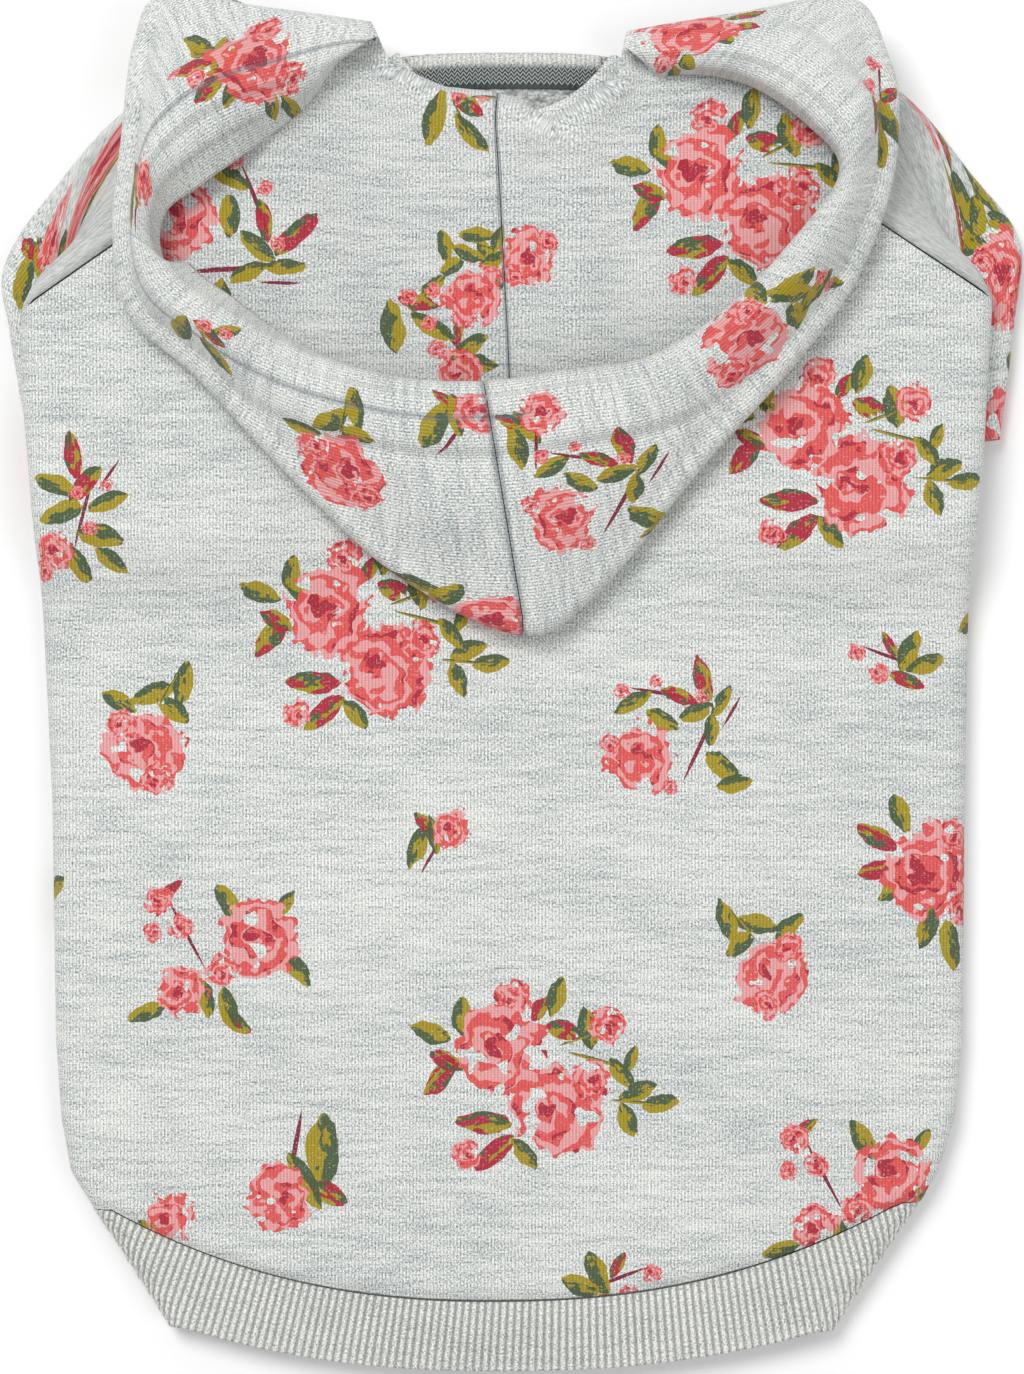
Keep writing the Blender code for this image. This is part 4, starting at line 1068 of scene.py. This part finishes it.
def hood_places(shares, aside):
    row = table_at(HOOD, shares)
    ends = RAGLAN_LEFT[2] * HALF_CHEST, CROWN_NECK_X, RAGLAN_RIGHT[2] * HALF_CHEST
    neck_x = np.interp(shares, (0, CROWN_SHARE, 1), ends)
    neck = np.stack([neck_x, np.interp(neck_x, NECK_LINE[:, 0], NECK_LINE[:, 1]) - HOOD_WALL], 1)
    fold = np.stack([HOOD_CENTRE + row[:, 0] * HALF_HOOD, HALF_LENGTH - row[:, 1] * HOOD_LENGTH], 1)
    rim = np.stack([HOOD_CENTRE + row[:, 2] * HALF_HOOD, HALF_LENGTH - row[:, 3] * HOOD_LENGTH], 1)
    rise, lean = row[:, 4] * HOOD_RIM_RISE, np.maximum(row[:, 5], 0) / 1000
    floor_neck = hood_floor(neck[:, 0], neck[:, 1])
    made = []

    def keep(x, y, z):
        made.append(np.stack([x, y, z], 1))

    for down in EDGE_DOWN:
        keep(neck[:, 0], neck[:, 1], floor_neck - (HOOD_SEAT_GAP + BODY_WALL) * down)
    length = np.hypot(*(fold - neck).T)
    way = (fold - neck) / length[:, None]
    radius = HOOD_FOLD_LOFT / 2
    flat = length - radius
    for part in np.linspace(0, 1, FLOOR_ROWS):
        reach = mix(0.0015, flat, part)
        x, y = (neck + way * reach[:, None]).T
        swell = 0.0016 * bump(reach, 0.004, 0.006)
        keep(x, y, hood_floor(x, y) + hood_ridges(x, y) + swell)
    fold_low = hood_floor(*fold.T)
    for angle in np.linspace(-math.pi / 2, math.pi / 2, FOLD_ROWS + 2)[1:-1]:
        x, y = (neck + way * (flat + radius * math.cos(angle))[:, None]).T
        keep(x, y, fold_low + radius * (1 + math.sin(angle)))
    start = neck + way * flat[:, None]
    crest = hood_floor(*rim.T) + rise
    back = np.hypot(*(rim - start).T)
    inward = (rim - start) / back[:, None]
    slope = np.hypot(back, crest - fold_low - HOOD_FOLD_LOFT)
    for part in np.linspace(0, 1, TOP_ROWS) ** 0.9:
        z = mix(fold_low + HOOD_FOLD_LOFT, crest, np.sin(part * math.pi / 2))
        away = slope * (1 - part)
        soft = 0.0021 * (1 - smooth(away, RIM_BAND - BAND_EDGE, RIM_BAND + BAND_EDGE))
        soft = soft - 0.0011 * bump(away, RIM_BAND, BAND_EDGE)
        soft = soft - 0.00055 * bump(away, STITCH_LINE, 0.0007) * (1 - smooth(shares, *STITCHES_FADE))
        wide_enough = smooth(slope, 0.012, 0.024)
        x, y = (mix(start, rim, part)).T
        keep(x, y, z + soft * mix(0.35, 1.0, wide_enough))
    for angle in np.linspace(0, math.pi / 2, ROLL_ROWS + 1)[1:]:
        reach = RIM_ROLL * math.sin(angle) + lean * 0.35 * math.sin(angle) ** 2
        x, y = (rim + inward * reach[:, None]).T
        keep(x, y, crest - RIM_ROLL * (1 - math.cos(angle)))
    turn = np.minimum(RIM_TURN, 0.35 * rise)
    last = made[ROLL_END]
    for part in np.linspace(0, 1, FACING_ROWS + 1)[1:]:
        x, y = (last[:, :2] + inward * (lean * 0.65 * part)[:, None]).T
        keep(x, y, last[:, 2] - turn * part)
    places = np.stack(made, 1)
    places[:, :, 0] += aside
    return places


def hood_wobble(places, shares):
    """The rim's slight uneven waves: two sines of so many waves round the hood, and a ripple."""
    part = np.arange(places.shape[1])[None, :]
    on_top = np.clip((part - TOP_FROM) / 12.0, 0, 1)
    wave = np.sin(shares * 2 * math.pi * 9.0 + 1.0) + 0.7 * np.sin(shares * 2 * math.pi * 15.3)
    lifted = places.copy()
    lifted[:, :, 2] += 0.0005 * wave[:, None] * on_top
    lifted[:, :, 2] += ripple(places[:, :, 0], places[:, :, 1], 3, 0.035, 0.0016) * on_top
    return lifted


OFF_THE_PRINT = 0.3  # the lining's upper part is hidden, and its map lies away from the printed motifs


def hood_maps(places):
    """Outside, the wales run along the rim. Inside, the lining's wales run down from the neck."""
    down = np.concatenate([np.zeros((places.shape[0], 1)),
                           np.cumsum(np.linalg.norm(np.diff(places, axis=1), axis=2), 1)], 1)
    round_rim = girth(places[:, CREST:CREST + 1])[:, :1]
    outside = np.stack([down - down[:, CREST:CREST + 1], np.ones_like(down) * round_rim], 2)
    inside = places[:, :, :2].copy()
    inside[:, :3, 1] += places[:, 3:4, 2] - places[:, :3, 2] + ROUND_THE_NECK
    beyond = down - down[:, TOP_FROM - 1:TOP_FROM]
    inside[:, TOP_FROM:, 1] -= OFF_THE_PRINT
    inside[:, TOP_FROM:, 0] += beyond[:, TOP_FROM:]
    return outside, inside


# %% The print of the hood
HOOD_PRINT = [
    ("rose", *photo(258, 82), 30, 0.95, 1), ("twig", *photo(215, 80), 20, 1.0, 1),
    ("leaves", *photo(205, 345), 0, 1.0, 1), ("bud", *photo(150, 205), 0, 1.0, 1),
    ("single", *photo(340, 468), 20, 0.95, 1), ("berries", *photo(590, 500), 0, 0.95, 1),
    ("single", *photo(492, 628), 80, 0.9, 1), ("single", *photo(745, 345), -40, 1.05, 1),
    ("bud", *photo(535, 435), 30, 1.1, 1), ("rose", *photo(690, 45), 0, 0.8, -1),
    ("twig", *photo(872, 112), -60, 1.0, 1), ("bud", *photo(468, 425), 0, 1.2, 1),
    ("leaves", *photo(800, 300), -40, 1.0, 1),
]
LINING_PRINT = [
    ("bouquet", *photo(735, 195), 8, 1.0, 1), ("leaves", *photo(452, 118), 0, 1.0, 1),
    ("single", *photo(524, 258), 100, 0.75, 1), ("single", *photo(474, 292), 0, 0.75, -1),
    ("leaves", *photo(408, 318), 20, 1.1, 1), ("twig", *photo(455, 350), -30, 0.9, 1),
    ("berries", *photo(225, 240), -60, 1.15, 1), ("bud", *photo(468, 385), 90, 1.2, 1),
    ("bouquet", *photo(300, 520), 70, 1.0, 1), ("bouquet", *photo(700, 500), 120, 1.0, 1),
]
HOOD_COLUMNS, SEAM_HALF_GAP = 172, 0.00012
# The crown seam pulls the cloth in, (on top, on the floor): how deep and how far
SEAM_PULL, SEAM_REACH = (0.0009, 0.0006), (0.0014, 0.0028)
NEAR_CROWN = np.array([0.0006, 0.0012, 0.0019, 0.0042, 0.0062])
for name, start, end, node_name, aside in (
    ("left_hood_cloth", 0.0, CROWN_SHARE, "hood_left", -SEAM_HALF_GAP),
    ("right_hood_cloth", CROWN_SHARE, 1.0, "hood_right", SEAM_HALF_GAP),
):
    shares = np.linspace(start, end, HOOD_COLUMNS)
    shares = np.unique(np.concatenate([shares, CROWN_SHARE + np.sign(start + end - 1) * NEAR_CROWN]))
    places = hood_wobble(hood_places(shares, aside), shares)
    seam_away = girth(places)
    seam_away = np.abs(seam_away - seam_away[-1 if end == CROWN_SHARE else 0])
    part = np.arange(places.shape[1])[None, :]
    below = (part[0] < TOP_FROM - FOLD_ROWS).astype(int)
    places[:, :, 2] -= np.array(SEAM_PULL)[below] * bump(seam_away, 0, np.array(SEAM_REACH)[below])
    outside, inside = hood_maps(places)
    stitch_away = np.abs(np.abs(outside[:, :, 0]) - STITCH_LINE) * 1000
    stitch_away[:, CREST + 1:] = FAR_AWAY
    stitch_away += FAR_AWAY * smooth(shares, *STITCHES_FADE)[:, None]
    seen = (part > TOP_FROM - 4) & (part < ROLL_END)
    piece = cloth(name, places, {"cloth": outside, "lining": inside}, HOOD_WALL, [node_name],
                  marks={"stitch_away": stitch_away, "seam_away": seam_away * 1000})
    print_on(piece, "cloth", "out", pinned(places, outside, seen, HOOD_PRINT))
    print_on(piece, "lining", "in", LINING_PRINT)
    finish_sheet(piece, hood_knit, lining_knit)

# %% [markdown]
# ## The front neckline
# Between the two ends of the hood the inside of the front shows: a light turned lip, rows of grey cover
# stitches, and the terry of the wrong side. The stitches are real thread, bent in small zigzags.

# %% Neck lip and cover stitches


def neck_sag(x):
    """The neckline falls away towards the two ends of the hood."""
    return 0.0012 * np.abs(x / 0.026) ** 3


LIP_WALE, LIP_WALE_RELIEF = 0.0012, 0.00012
lip_x = even(-0.0262, 0.0225, LIP_WALE / 5)
LIP_ROWS, LIP_DEPTH, LIP_WALL = 12, 0.0090, 0.0008
lip_turn = np.linspace(0, 1, LIP_ROWS)
lip_wales = (0.5 - 0.5 * np.cos(2 * math.pi * lip_x / LIP_WALE))[:, None]
under_stitches = smooth(lip_turn, 0.36, 0.46)
lip_top = FRONT_NECK_ALONG * HALF_LENGTH
lip_y = lip_top - LIP_DEPTH * lip_turn
lip_z = BODY_WALL + 0.0004 + 0.0011 * np.sin(np.clip(lip_turn / 0.45, 0, 1) * math.pi) ** 0.8 + 0.0003
all_columns = np.ones((len(lip_x), 1))
lip = np.stack([lip_x[:, None] * np.ones(LIP_ROWS), all_columns * lip_y, all_columns * lip_z], 2)
lip[:, :, 1] -= neck_sag(lip_x)[:, None]
lip[:, :, 2] -= LIP_WALE_RELIEF * lip_wales
lip_map = np.stack([lip[:, :, 1], lip[:, :, 0]], 2)
# The groove mark darkens the lip's wale valleys a little and the cloth under the cover stitches more: painted
# shade.
neck_lip = cloth("neck_lip", lip, {"cloth": lip_map}, LIP_WALL, ["front_neck_band"],
                 flip=True, marks={"groove": mix(0.5 * lip_wales, SHADE_UNDER_STITCHES, under_stitches)})
finish_sheet(neck_lip, rib, rib)


def zigzag(name, y, height, pitch, thick, seat):
    """A row of cover stitches as one curve of thread."""
    line = bpy.data.curves.new(name, "CURVE")
    line.dimensions = "3D"
    line.bevel_depth = thick / 2
    line.bevel_resolution = 1
    xs = np.arange(-0.0245, 0.0210, pitch / 4)
    spline = line.splines.new("POLY")
    spline.points.add(len(xs) - 1)
    for k, x in enumerate(xs):
        side = (0, 1, 0, -1)[k % 4]
        spline.points[k].co = (x, y + side * height / 2 - neck_sag(x), seat + 0.00012 * (k % 3), 1)
    line.materials.append(grey_thread)
    thing = bpy.data.objects.new(name, line)
    scene.collection.objects.link(thing)
    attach(thing, "root")
    return thing


FIRST_ROW, NEXT_ROW, STITCH_HEIGHT, STITCH_PITCH, THREAD = 0.0034, 0.00104, 0.0011, 0.0015, 0.00030
stitch_rows = [zigzag(f"cover_stitches_{k}", lip_top - FIRST_ROW - NEXT_ROW * k, STITCH_HEIGHT, STITCH_PITCH,
                      THREAD, BODY_WALL + 0.0016) for k in range(5)]
print(len(stitch_rows), "rows of cover stitches")
